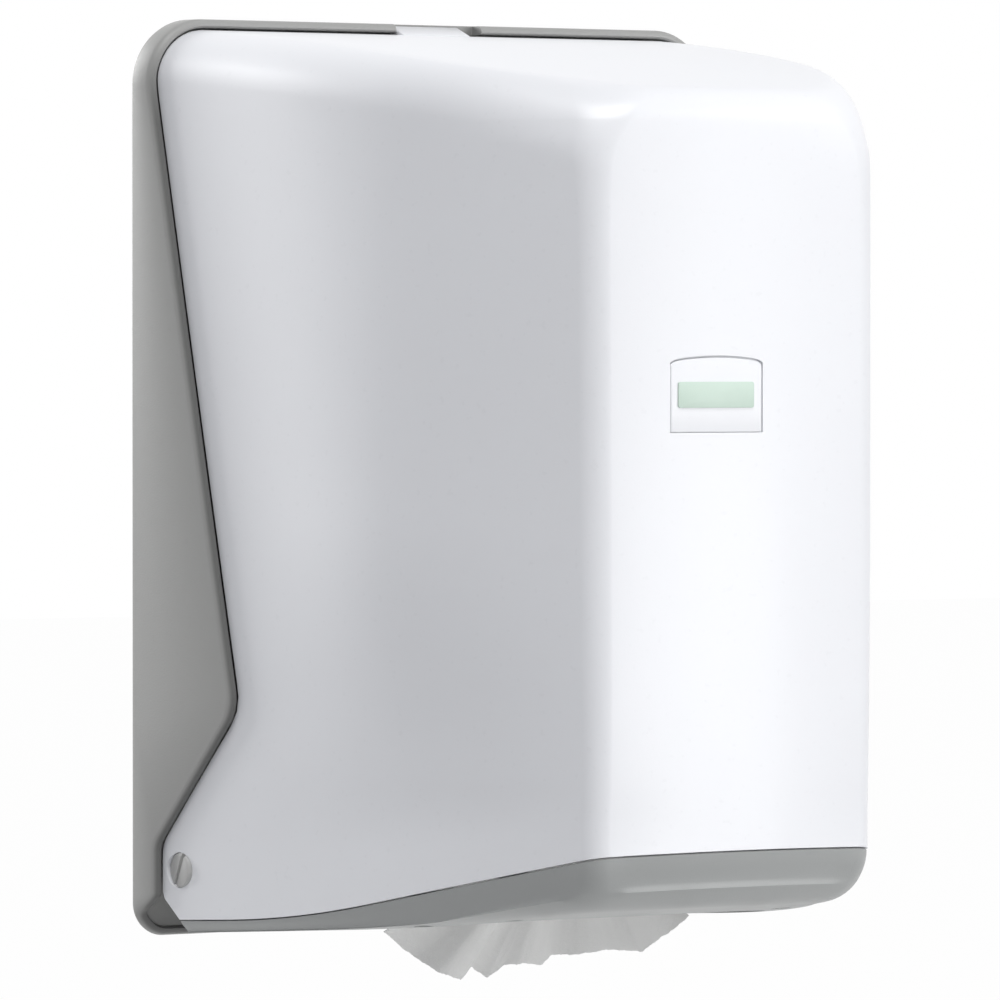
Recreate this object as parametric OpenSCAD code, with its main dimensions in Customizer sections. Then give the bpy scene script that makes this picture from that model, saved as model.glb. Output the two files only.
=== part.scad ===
// Wall dispenser for a centre-pull paper roll.
// Every height below is measured up from the foot of the rear casing, every depth forward from the wall.
// The finished part has its origin on the wall, at the middle of the four screw holes.

/* [Rear casing] */
// Room between the roll and the casing's outer side, on each side
side_room = 39; // [37:0.5:46]
// Room between the wall and the roll
rear_room = 8; // [7:0.5:12]
// Room above the roll for the latch and the sloping top
head_room = 82; // [78:1:96]
// Outer radius of the casing's two upper corners
casing_top_r = 24; // [20:1:30]
// Outer radius of the casing's two lower corners
casing_foot_r = 12; // [8:1:16]
// Thickness of the casing's side and top walls
casing_wall = 3.4; // [3:0.1:4]
// Thickness of the back plate
plate_t = 2.6; // [2:0.1:3]
// Depth of the round that finishes the casing's front rim
rim_round = 2.6; // [2:0.1:2.8]
// Depth of the rim along the top
rim_top_depth = 7.2; // [6:0.1:9]
// Depth of the rim at the nose of its side curve
rim_nose_depth = 47.5; // [40:0.1:56]
// Height of the nose of the side curve
rim_nose_h = 82.9; // [74:0.1:92]
// Depth of the rim at the heel, beside the hinge
rim_heel_depth = 9.6; // [8:0.1:11]
// Height at which the side curve runs into the heel
rim_heel_h = 33.5; // [31:0.1:37]
// Depth of the rim along the foot
rim_foot_depth = 1.4; // [1.3:0.1:1.6]

/* [Wall mounting] */
// Distance between the left and right wall holes
hole_spacing_w = 160; // [120:1:180]
// Distance between the upper and lower wall holes
hole_spacing_h = 200; // [160:1:210]
// Diameter of the wall holes
hole_d = 5.5; // [4:0.1:6.5]
// Diameter of the pad around each wall hole
hole_pad_d = 18; // [14:0.5:22]
// Height of that pad above the back plate
hole_pad_t = 2; // [1:0.1:3]

/* [Front cover] */
// Room between the roll and the cover's front, at its middle
front_room = 23; // [20:0.5:30]
// Width across the front at its sharp corners, as a share of the casing's width
front_share = 0.48; // [0.472:0.002:0.56]
// How far the cover lies inside the casing's outer side
cover_inset = 4; // [3.8:0.1:4.6]
// Gap between the cover's top edge and the casing
cover_gap = 0.6; // [0.5:0.1:0.9]
// Wall of the cover
cover_wall = 2.6; // [2.3:0.1:3]
// Outward swell of each side
side_swell = 5; // [3:0.1:7]
// Forward swell of the front
front_crown = 5; // [3:0.1:7]
// Radius of the upright front corners
front_corner_r = 14; // [10:0.5:18]
// Radius at which the side runs over into the top
top_edge_r = 9; // [7:0.5:12]
// Height from the casing's top down to where the front and the sloping top would meet
shoulder_drop = 29; // [25:1:36]
// Radius between the front and the top
shoulder_r = 13; // [10:1:24]
// Upward swell of the sloping top
top_swell = 2.5; // [1.5:0.1:3.5]
// Reach of the front corner's rounding at the shoulder
corner_reach = 30; // [20:1:34]
// Radius of the line at which each side starts to turn, round its upper front corner
side_line_r = 50; // [40:1:60]
// Height of the cover's lower edge at the hinge
cover_low_h = 6.7; // [6.2:0.1:7.4]
// Depth at which the lower edge starts to rise
cover_knee_d = 74; // [64:1:84]
// Height of the lower edge there
cover_knee_h = 9.3; // [8.6:0.1:10]
// Height of the lower edge at the front
cover_front_low_h = 37; // [34:0.5:39]

/* [Base tray] */
// Seam between tray and cover
tray_seam = 0.4; // [0.3:0.1:0.6]
// Height of the tray's underside at the hinge
tray_low_h = 1.6; // [1.4:0.1:1.9]
// Depth at which the underside steepens
tray_knee_d = 113; // [105:1:121]
// Height of the underside there
tray_knee_h = 7.3; // [6.8:0.1:8]
// Height of the underside at the front
tray_front_low_h = 16; // [14:0.5:18]
// Height of the upper band that runs round below the cover
tray_band_h = 10.5; // [8:0.1:11.5]
// How far the upper band leans in
tray_band_lean = 3.4; // [3:0.1:6]
// Wall of the tray
tray_wall = 2.4; // [2:0.1:2.8]
// Floor of the tray
tray_floor_t = 2.6; // [2.2:0.1:3]
// Width of the floor left beside the outlet, from the cover's side
outlet_margin = 23.5; // [22.5:0.1:28]
// Reach of the outlet behind the nozzle
outlet_back = 48; // [44:1:51]
// Reach of the outlet in front of the nozzle
outlet_fore = 44; // [38:1:48]
// Corner radius of the outlet
outlet_r = 34; // [28:1:40]

/* [Hinge] */
// Depth of the hinge axis
pivot_d = 19.5; // [19:0.1:20.5]
// Height of the hinge axis
pivot_h = 24.5; // [24:0.1:25.5]
// Diameter of the slotted pin head
pin_head_d = 12.6; // [11:0.1:13.5]
// Diameter of the pin where it sits in the cover
pin_shank_d = 8; // [7.2:0.1:9]
// Diameter of the pin where it turns in the casing
pin_journal_d = 6; // [5:0.1:6.6]
// Running clearance of the journal on its radius
pin_clearance = 0.05; // [0.03:0.01:0.1]
// Clearance of the pin in the cover on its radius
pin_seat_clearance = 0.04; // [0.02:0.01:0.1]
// Thickness of the hinge ears
ear_t = 5; // [4:0.1:6]
// Radius of the rounded end of each ear
ear_r = 7; // [6.5:0.1:8]
// Width of the screwdriver slot
pin_slot_w = 1.8; // [1.2:0.1:2.4]

/* [Roll and outlet] */
// Diameter of the paper roll
roll_d = 172; // [150:1:190]
// Height of the paper roll
roll_h = 195; // [170:1:230]
// Bore of the paper roll
roll_bore_d = 66; // [62:1:72]
// Height of the top of the shelf under the roll
shelf_h = 53; // [50:0.5:56]
// Thickness of the shelf
shelf_t = 3; // [2.4:0.1:3.6]
// Gap between the shelf and the cover
shelf_gap = 3; // [2:0.1:4]
// Width of the nozzle's flange and of its nut
nozzle_flange_w = 6; // [5:0.1:8]
// Diameter of the nozzle's barrel
nozzle_barrel_d = 46; // [42:0.5:48]
// Diameter of the nozzle's mouth
nozzle_mouth_d = 26; // [22:0.5:30]
// Height of the nozzle's mouth
nozzle_mouth_h = 38; // [36:0.5:40]
// Height of the retaining nut
nut_h = 5; // [4:0.1:6]
// Number of tearing slots in the mouth
tear_slots = 8; // [6:1:10]

/* [Latch] */
// Width of the cover's tongue in the top edge
tongue_w = 29.5; // [26:0.5:32]
// Width of the key slot beside the tongue
key_slot_w = 6.4; // [6:0.1:7]
// Diameter of the latch stem
stem_d = 8; // [7:0.1:9]
// Travel of the latch when it is pressed
latch_travel = 4; // [3.6:0.1:4.2]
// Sliding clearance of the latch
latch_clearance = 0.1; // [0.05:0.01:0.2]
// Wire of the latch spring
spring_wire = 0.8; // [0.6:0.05:0.9]
// Turns of the latch spring
spring_turns = 5; // [4:1:5]

/* [Badge] */
// Width of the badge holder
badge_w = 38; // [34:0.5:42]
// Height of the badge holder
badge_h = 26; // [22:0.5:28]
// Thickness of the badge holder
badge_t = 1.5; // [1.2:0.1:1.6]
// Distance of the badge from the middle, negative to the left
badge_x = -11; // [-16:0.5:-8]
// Height of the badge's middle
badge_z = 195.5; // [180:0.5:205]
// Width of the bare label plate
label_w = 31.5; // [28:0.5:33]
// Height of the bare label plate
label_h = 9; // [8:0.5:12]

/* [Paper tail] */
// Thickness of the gathered paper
tail_t = 0.8; // [0.6:0.1:1]
// Length of the tail to the left of the nozzle
tail_left = 61; // [58:1:66]
// Length of the tail to the right of the nozzle
tail_right = 56; // [50:1:60]
// Number of folds in the tail
tail_folds = 4; // [3:1:5]
// Depth of the folds
tail_fold_depth = 4; // [2:0.5:5]

/* [Hidden] */
$fn = 64;

casing_grey = [0.60, 0.60, 0.59];
cover_white = [0.95, 0.95, 0.96];
tray_grey = [0.62, 0.63, 0.62];
steel_grey = [0.72, 0.73, 0.75];
guide_grey = [0.45, 0.46, 0.47];
paper_white = [0.92, 0.92, 0.91];
label_mint = [0.86, 0.94, 0.90];

// Sizes that follow from the roll and the room around it
casing_w = roll_d + 2 * side_room;
casing_h = shelf_h + roll_h + head_room;
roll_axis_d = rear_room + roll_d / 2;
cover_d = roll_axis_d + roll_d / 2 + front_room;
cover_front_w = casing_w * front_share;
shoulder_h = casing_h - shoulder_drop;
mount_h = casing_h / 2;
nozzle_flange_d = nozzle_barrel_d + 2 * nozzle_flange_w;
outlet_rear_d = roll_axis_d - outlet_back;
outlet_front_d = roll_axis_d + outlet_fore;

// Small allowances shared by several pieces
cut_over = 1;
seat_gap = 0.1;
fold_gap = 0.3;
arc_steps = 8;

// Screws
screw_d = 3;
screw_head_d = 6;
screw_head_t = 2;
screw_hole_clearance = 0.05;
screw_boss_d = 8;

// Plan of the body: half width of the casing at a depth, and of the cover inside it
front_corner_d = cover_d - front_crown;
casing_front_half = cover_front_w / 2 + cover_inset;
function swell(share) = 4 * side_swell * share * (1 - share);
function casing_half(d) =
    casing_w / 2 + (casing_front_half - casing_w / 2) * d / front_corner_d + swell(d / front_corner_d);
function cover_half(d) = casing_half(d) - cover_inset;
function taper(d) = casing_half(d) / casing_half(0);

// A point of the body placed in the part's frame
function at(x, d, h) = [x, -d, h - mount_h];
module place(x, d, h) translate(at(x, d, h)) children();
module forward() rotate([90, 0, 0]) children();

// A corner b between a and c, rounded to radius r by a run of points
function unit(v) = v / norm(v);
function rounded(a, b, c, r, steps) =
    let (
        u = unit(a - b),
        v = unit(c - b),
        half = acos(u * v) / 2,
        run = r / tan(half),
        first = b + run * u,
        last = b + run * v,
        middle = b + unit(u + v) * r / sin(half)
    )
    [for (i = [0 : steps]) middle + r * unit(first + (last - first) * i / steps - middle)];

function flat_list(lists) = [for (part = lists) each part];
function reversed(list) = [for (i = [len(list) - 1 : -1 : 0]) list[i]];

// Side curve of the rim as heights and depths, from the foot to the top
foot_step_low = 8;
foot_step_high = 15;
foot_round = 3;
heel_round = 10;
nose_round = 16;
rim_top_round = 60;
rim_foot = [0, rim_foot_depth];
rim_low = [foot_step_low, rim_foot_depth];
rim_high = [foot_step_high, rim_heel_depth];
rim_heel = [rim_heel_h, rim_heel_depth];
rim_nose = [rim_nose_h, rim_nose_depth];
rim_shoulder = [casing_h - casing_top_r, rim_top_depth];
rim_top = [casing_h, rim_top_depth];
rim_curve = concat(
    [rim_foot],
    rounded(rim_foot, rim_low, rim_high, foot_round, 2),
    rounded(rim_low, rim_high, rim_heel, foot_round, 2),
    rounded(rim_high, rim_heel, rim_nose, heel_round, 4),
    rounded(rim_heel, rim_nose, rim_shoulder, nose_round, 6),
    rounded(rim_nose, rim_shoulder, rim_top, rim_top_round, 3),
    [rim_top]);
function rim_depth(h) = lookup(h, rim_curve);

// Outline of the casing seen from the front, from the foot up the right side and down the left one
rim_levels = [for (p = rim_curve) if (p.x > casing_foot_r && p.x < casing_h - casing_top_r) p.x];
function arc(cx, cy, r, from, to) =
    [for (i = [0 : arc_steps])
        let (a = from + (to - from) * i / arc_steps)
        [cx + r * cos(a), cy + r * sin(a)]];
function casing_right(inset) = concat(
    arc(casing_w / 2 - casing_foot_r, casing_foot_r, casing_foot_r - inset, -90, 0),
    [for (h = rim_levels) [casing_w / 2 - inset, h]],
    arc(casing_w / 2 - casing_top_r, casing_h - casing_top_r, casing_top_r - inset, 0, 90));
function casing_outline(inset) =
    let (right = casing_right(inset))
    concat(right, [for (p = reversed(right)) [-p.x, p.y]]);
rim_at_point = [for (p = casing_outline(0)) rim_depth(p.y)];
function casing_ring_flat(inset, d) = [for (p = casing_outline(inset)) at(p.x * taper(d), d, p.y)];
function casing_ring_rim(inset, extra) =
    let (outline = casing_outline(inset))
    [for (i = [0 : len(outline) - 1])
        let (d = rim_at_point[i] + extra)
        at(outline[i].x * taper(d), d, outline[i].y)];

// Triangles between two runs of points, and across a run whose points mirror each other
function strip(first, second, count, closed) =
    [for (i = [0 : count - (closed ? 1 : 2)])
        let (j = (i + 1) % count)
        each [[first + i, first + j, second + j], [first + i, second + j, second + i]]];
function across(first, count) =
    [for (i = [0 : floor(count / 2) - 1])
        let (
            a = first + i,
            b = first + i + 1,
            c = first + count - 2 - i,
            e = first + count - 1 - i
        )
        each (b > c ? [] : (b == c ? [[a, b, e]] : [[a, b, c], [a, c, e]]))];
function turned(faces) = [for (f = faces) reversed(f)];

// Closed solid through rings of equally many points, capped at both ends
module ring_solid(rings) {
    count = len(rings[0]);
    last = (len(rings) - 1) * count;
    walls = flat_list([for (k = [0 : len(rings) - 2]) strip(k * count, (k + 1) * count, count, true)]);
    polyhedron(flat_list(rings), turned(concat(walls, turned(across(0, count)), across(last, count))));
}

// Closed solid between an outer and an inner sheet of the same rows and columns
module sheet_solid(outer, inner) {
    rows = len(outer);
    cols = len(outer[0]);
    inner_at = rows * cols;
    function face_rows(start) =
        flat_list([for (k = [0 : rows - 2]) strip(start + k * cols, start + (k + 1) * cols, cols, false)]);
    left = [for (k = [0 : rows - 1]) k * cols];
    right = [for (k = [0 : rows - 1]) k * cols + cols - 1];
    function side_strip(edge) =
        [for (k = [0 : rows - 2])
            each [
                [edge[k], edge[k + 1], edge[k + 1] + inner_at],
                [edge[k], edge[k + 1] + inner_at, edge[k] + inner_at]]];
    foot = strip(0, inner_at, cols, false);
    top = strip((rows - 1) * cols, inner_at + (rows - 1) * cols, cols, false);
    polyhedron(
        concat(flat_list(outer), flat_list(inner)),
        concat(
            turned(face_rows(0)), face_rows(inner_at), foot, turned(top),
            turned(side_strip(left)), side_strip(right)));
}

// Lower edge of the cover and underside of the tray, as heights at a depth
edge_round = 400;
cover_rear_d = pivot_d;
cover_edge_low = [cover_rear_d, cover_low_h];
cover_edge_knee = [cover_knee_d, cover_knee_h];
cover_edge_front = [cover_d, cover_front_low_h];
cover_edge = concat(
    [cover_edge_low],
    rounded(cover_edge_low, cover_edge_knee, cover_edge_front, edge_round, 6),
    [cover_edge_front]);
function cover_edge_h(d) = lookup(d, cover_edge);
tray_edge = [[cover_rear_d, tray_low_h], [tray_knee_d, tray_knee_h], [cover_d, tray_front_low_h]];
function tray_low(d) = lookup(d, tray_edge);

// Right half of a level section of the hood, from its rear edge round to the middle of its front
side_steps = 8;
corner_steps = 5;
front_steps = 4;
corner_run = 0.85;
corner_pull = 0.8;
function bezier(a, b, c, t) = a * (1 - t) * (1 - t) + b * 2 * t * (1 - t) + c * t * t;
function conic(a, b, c, t) =
    let (first = (1 - t) * (1 - t), middle = 2 * corner_pull * t * (1 - t), last = t * t)
    (a * first + b * middle + c * last) / (first + middle + last);
function smooth(share) = let (s = min(1, max(0, share))) s * s * (3 - 2 * s);
function corner_reach_at(h) =
    let (
        rise = min(side_line_r, max(0, h - shoulder_h + side_line_r)),
        share = 1 - sqrt(1 - pow(rise / side_line_r, 2)),
        low = corner_run * front_corner_r,
        past = min(1, max(0, (h - shoulder_h + 2) / 7))
    )
    (low + (corner_reach - low) * share) * (1 - past) + 4 * past;
function section_half(d, h, narrow, t) = cover_half(d) - narrow - top_cut(d, h, t);
function section_right(rear, front, narrow, h, t) =
    let (
        crown = front_crown * (front - rear) / cover_d,
        corner_d = front - crown,
        corner_x = section_half(corner_d, h, narrow, t),
        run = corner_reach_at(h) - t / 2,
        side_end = corner_d - min(run, 0.8 * (corner_d - rear)),
        from_side = [section_half(side_end, h, narrow, t), side_end],
        front_x = corner_x - min(run, 0.8 * corner_x),
        onto_front = [front_x, front - crown * pow(front_x / corner_x, 2)]
    )
    concat(
        [for (i = [0 : side_steps - 1])
            let (d = rear + (side_end - rear) * sin(90 * i / side_steps))
            [section_half(d, h, narrow, t), d]],
        [for (i = [0 : corner_steps]) conic(from_side, [corner_x, corner_d], onto_front, i / corner_steps)],
        [for (i = [1 : front_steps])
            let (x = front_x * (1 - i / front_steps))
            [x, front - crown * pow(x / corner_x, 2)]]);
function section(rear, front, narrow, h, t) =
    let (right = section_right(rear, front, narrow, h, t))
    concat([for (p = right) [-p.x, p.y]], [for (i = [len(right) - 2 : -1 : 0]) right[i]]);

// Rear edge of the cover, tucked just inside the rim
cover_tuck = 1.6;
chamfer_top_h = 15;
cover_rear_curve = concat(
    [[cover_low_h, cover_rear_d]],
    [for (p = rim_curve) if (p.x >= chamfer_top_h) [p.x, p.y + cover_tuck]]);
function cover_rear(h) = lookup(h, cover_rear_curve);

// Profile of the hood's front and top along its middle, for a skin that lies t inside
cover_top_h = casing_h - casing_wall - cover_gap;
top_edge_d = rim_top_depth + cover_tuck + cover_gap;
top_slope = atan((cover_top_h - shoulder_h) / (cover_d - top_edge_d));
slope_steps = 6;
shoulder_steps = 7;
shoulder_run = 12;
function hood_top_h(d) =
    let (share = (cover_d - d) / (cover_d - top_edge_d))
    shoulder_h + (cover_top_h - shoulder_h) * share + 4 * top_swell * share * (1 - share);
front_slope = atan((hood_top_h(cover_d - shoulder_run) - shoulder_h) / shoulder_run);
function hood_top(t) =
    let (
        drop = t / cos(top_slope),
        corner = [cover_d - t, shoulder_h + t * tan(front_slope) - t / cos(front_slope)],
        foot = [cover_d - t, 0],
        ahead = [cover_d - shoulder_run, hood_top_h(cover_d - shoulder_run) - t / cos(front_slope)],
        bend = rounded(foot, corner, ahead, shoulder_r - t, shoulder_steps),
        last = bend[shoulder_steps].x
    )
    concat(bend, [for (i = [1 : slope_steps])
        let (d = last + (top_edge_d - last) * i / slope_steps)
        [d, hood_top_h(d) - drop]]);

// Each side turns in under the top by a quarter round, which grows to the casing's corner at the rear
cover_top_r = casing_top_r - casing_wall - cover_gap;
rear_turn_d = 10;
rear_turn_run = 80;
function top_cut(d, h, t) =
    let (
        r = cover_top_r + (top_edge_r - cover_top_r) * smooth((d - rear_turn_d) / rear_turn_run) - t,
        under = min(r, max(0, hood_top_h(d) - t / cos(top_slope) - h))
    )
    r - sqrt(max(0, r * r - pow(r - under, 2)));

// Rows of the hood, from the lower edge to the top edge, for a skin that lies t inside
hood_level = 60;
hood_level_rows = concat(
    [cover_low_h, 11],
    [for (p = rim_curve) if (p.x >= chamfer_top_h && p.x < hood_level) p.x],
    [46, hood_level, 70],
    [for (p = rim_curve) if (p.x >= 71 && p.x < 100) p.x],
    [120, 165, 210, shoulder_h - 66, shoulder_h - 50, shoulder_h - 36, shoulder_h - 26]);
wall_lean = 1.06;
function hood_row(h, t) =
    let (
        narrow = t * wall_lean,
        share = (h - cover_low_h) / (hood_level - cover_low_h),
        plan = section(cover_rear(h), cover_d - t, narrow, h, t)
    )
    [for (p = plan)
        let (edge = cover_edge_h(p.y))
        at(p.x, p.y, h >= hood_level ? h : edge + (hood_level - edge) * share)];
function hood_top_row(p, t) =
    [for (q = section(cover_rear(p.y), p.x, t * wall_lean, p.y, t)) at(q.x, q.y, p.y)];
function hood(t) = concat(
    [for (h = hood_level_rows) hood_row(h, t)],
    [for (p = hood_top(t)) hood_top_row(p, t)]);

// Hinge layout, worked out for the right side and mirrored for the left
pivot_face_x = cover_half(pivot_d);
pin_head_t = 3;
pin_head_x = pivot_face_x + 0.3;
pin_seat_x = pin_head_x - pin_head_t;
pin_boss_t = 3;
pin_boss_d = pin_head_d + 5;
pin_boss_x = pin_seat_x - pin_boss_t;
ear_x = pin_boss_x - fold_gap;
ear_end_x = ear_x - ear_t;
clip_t = 1.6;
clip_d = 11;
clip_gap = 0.3;
pin_tip = 1.6;
pin_groove_depth = 0.8;
pin_end_x = ear_end_x - clip_gap - clip_t - pin_tip;
module along_x(from, to, d) translate([from, 0, 0]) rotate([0, 90, 0]) cylinder(h = to - from, d = d);
module at_pivot() place(0, pivot_d, pivot_h) children();
module both_sides() {
    children();
    mirror([1, 0, 0]) children();
}

// Latch layout
latch_axis_d = 10;
latch_drop = 46;
latch_floor_h = casing_h - latch_drop;
guide_floor_t = 3;
guide_h = 20;
key_pad_drop = 5;
catch_gap = 2;
catch_rib_gap = 1.2;
spring_free = 9;
latch_stem_low = latch_floor_h + guide_floor_t + spring_free;
latch_guide_top = latch_floor_h + guide_h;
latch_bridge_low = latch_guide_top + latch_travel + fold_gap;
latch_bridge_t = 3.4;
latch_bridge_top = latch_bridge_low + latch_bridge_t;
hook_rise = 4.4;
hook_w = 14;
hook_t = 3;
hook_play = 1;
key_pad_w = key_slot_w - 1.2;
key_pad_h = cover_top_h - key_pad_drop;
tongue_left = -tongue_w / 2 - 1.7;
tongue_right = tongue_left + tongue_w;
key_left = tongue_right;
notch_side_gap = 0.8;
tongue_rear_d = 4.2;
tongue_top_h = casing_h - 0.5;
notch_rear_d = tongue_rear_d - 0.6;
guide_w = 28;
guide_front_d = latch_axis_d + stem_d / 2 + 2.5;
guide_ear_w = 12;
guide_ear_t = 3;
guide_boss_d = 9;
guide_screw_x = guide_w / 2 + guide_ear_w / 2;
guide_screw_h = latch_floor_h + guide_h / 2;
guide_back_t = 2;
catch_h = latch_bridge_top + hook_rise + catch_gap;
catch_t = 2;
catch_w = 38;
catch_rear_d = latch_axis_d + stem_d / 2 + 1.5;
catch_rib_t = 2;
catch_screw_x = 13;
catch_screw_d = catch_rear_d + 9;
catch_d = 14;
hook_tip_d = catch_rear_d + catch_rib_t + hook_play;

// Roll, shelf and outlet layout
outlet_w = 2 * (cover_half(roll_axis_d) - outlet_margin);
shelf_low = shelf_h - shelf_t;
shelf_boss_h = 10;
shelf_rear_d = outlet_rear_d - 16;
post_d = screw_boss_d + 2;
post_gap = 1;
shelf_post_x = outlet_w / 2 - 16;
shelf_spots = [
    [shelf_post_x, outlet_rear_d - post_d / 2 - post_gap],
    [shelf_post_x, outlet_front_d + post_d / 2 + post_gap + 2]];
tray_post_reach = 26;
tray_post_inset = tray_band_lean + tray_wall;
function tray_spot(d) = [(outlet_w / 2 + cover_half(d) - tray_post_inset) / 2, d];
tray_spots = [tray_spot(roll_axis_d - tray_post_reach), tray_spot(roll_axis_d + tray_post_reach)];
tray_rear_d = cover_rear_d + seat_gap;
cover_boss_low = 26;
cover_boss_h = 12;

// Badge layout: the holder lies along the crowned front
badge_turn = atan(2 * front_crown * badge_x / pow(cover_front_w / 2, 2));
badge_face_d = cover_d - front_crown * pow(badge_x / (cover_front_w / 2), 2);
badge_gap = 0.3;
badge_sink = 0.25;
label_t = 0.5;
label_edge = 3;
badge_arch = 3;

// Rear casing: back plate, curved cheeks, hinge ears, wall pads and the notch for the cover's tongue
module rear_casing() color(casing_grey) {
    difference() {
        union() {
            ring_solid([
                casing_ring_flat(1.2, 0),
                casing_ring_flat(0, 1.2),
                casing_ring_rim(0, 0),
                casing_ring_rim(0.45, rim_round * 0.55),
                casing_ring_rim(1.3, rim_round * 0.88),
                casing_ring_rim(2.4, rim_round),
                casing_ring_rim(casing_wall, rim_round),
                casing_ring_flat(casing_wall, plate_t)]);
            both_sides() hinge_ear();
            wall_holes(hole_pad_d, plate_t - seat_gap, plate_t + hole_pad_t);
            guide_posts(guide_boss_d, plate_t - seat_gap, guide_seat_d());
        }
        wall_holes(hole_d, -cut_over, plate_t + hole_pad_t + cut_over);
        guide_posts(screw_d + 2 * screw_hole_clearance, plate_t, guide_seat_d() + cut_over);
        at_pivot() along_x(-casing_w / 2, casing_w / 2, pin_journal_d + 2 * pin_clearance);
        tongue_notch();
    }
}
function guide_seat_d() = plate_t + 6;
module wall_holes(d, from, to) {
    for (x = [-1, 1], z = [-1, 1])
        translate([x * hole_spacing_w / 2, -from, z * hole_spacing_h / 2])
            forward() cylinder(h = to - from, d = d);
}
module guide_posts(d, from, to) {
    for (x = [-1, 1])
        place(x * guide_screw_x, from, guide_screw_h)
            forward() cylinder(h = to - from, d = d);
}
module hinge_ear() {
    place(ear_end_x, plate_t / 2, pivot_h - ear_r)
        mirror([0, 1, 0]) cube([ear_t, pivot_d - plate_t / 2, 2 * ear_r]);
    at_pivot() along_x(ear_end_x, ear_x, 2 * ear_r);
}
module tongue_notch() {
    place(
        tongue_left - notch_side_gap, rim_top_depth + rim_round + cut_over,
        casing_h - casing_wall - cut_over)
        cube([tongue_w + key_slot_w + 2 * notch_side_gap,
            rim_top_depth + rim_round + cut_over - notch_rear_d, casing_wall + 2 * cut_over]);
}

// Front cover: one hood with pin bosses, screw bosses, the badge recess and the tongue
module front_cover() color(cover_white) {
    difference() {
        union() {
            sheet_solid(hood(0), hood(cover_wall));
            both_sides() at_pivot() along_x(pin_boss_x, pivot_face_x - cover_wall / 2, pin_boss_d);
            cover_tongue();
            for (x = [-1, 1])
                catch_post(x);
            both_sides() cover_bosses();
        }
        both_sides() at_pivot() {
            along_x(pin_seat_x, pivot_face_x + cut_over, pin_head_d + 2 * pin_seat_clearance);
            along_x(pin_boss_x - cut_over, pivot_face_x, pin_shank_d + 2 * pin_seat_clearance);
        }
        for (x = [-1, 1])
            place(x * catch_screw_x, catch_screw_d, catch_h + catch_t - cut_over)
                cylinder(h = catch_post_h() - 1.2 + cut_over, d = screw_d + 2 * screw_hole_clearance);
        both_sides() cover_boss_bores();
        badge_recess();
    }
}
function catch_post_h() = hood_top_h(catch_screw_d) - cover_wall / 2 - catch_h - catch_t;
module catch_post(side) {
    place(side * catch_screw_x, catch_screw_d, catch_h + catch_t)
        cylinder(h = catch_post_h(), d = screw_boss_d);
}
module cover_tongue() {
    place(tongue_left, top_edge_d + cover_wall, cover_top_h - cover_wall)
        cube([tongue_w, top_edge_d + cover_wall - tongue_rear_d, cover_wall - cover_gap]);
    place(tongue_left, top_edge_d + cover_gap, cover_top_h - cover_wall)
        cube([tongue_w, top_edge_d + cover_gap - tongue_rear_d, tongue_top_h - cover_top_h + cover_wall]);
}
module cover_bosses() {
    for (spot = tray_spots) {
        place(spot.x, spot.y, cover_boss_low)
            cylinder(h = cover_boss_h, d = screw_boss_d);
        place(spot.x, spot.y - cover_wall / 2, cover_boss_low)
            translate([0, -cover_wall, 0])
                cube([cover_half(spot.y) - cover_wall / 2 - spot.x, cover_wall, cover_boss_h]);
    }
}
module cover_boss_bores() {
    for (spot = tray_spots)
        place(spot.x, spot.y, cover_boss_low - cut_over)
            cylinder(h = cover_boss_h + cut_over - 2, d = screw_d + 2 * screw_hole_clearance);
}
module badge_frame() translate([badge_x, -badge_face_d, badge_z - mount_h])
    rotate([0, 0, badge_turn]) children();
module badge_shape(grow) {
    w = badge_w / 2 + grow;
    low = -badge_h / 2 - grow;
    high = badge_h / 2 + grow - badge_arch;
    polygon(concat([[-w, low], [w, low]],
        [for (i = [0 : arc_steps])
            let (t = i / arc_steps)
            bezier([w, high], [0, high + 2 * badge_arch], [-w, high], t)]));
}
module badge_recess() badge_frame() translate([0, badge_sink + badge_t + seat_gap, 0]) forward()
    linear_extrude(height = badge_t + badge_sink + cut_over + seat_gap) badge_shape(badge_gap);

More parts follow.
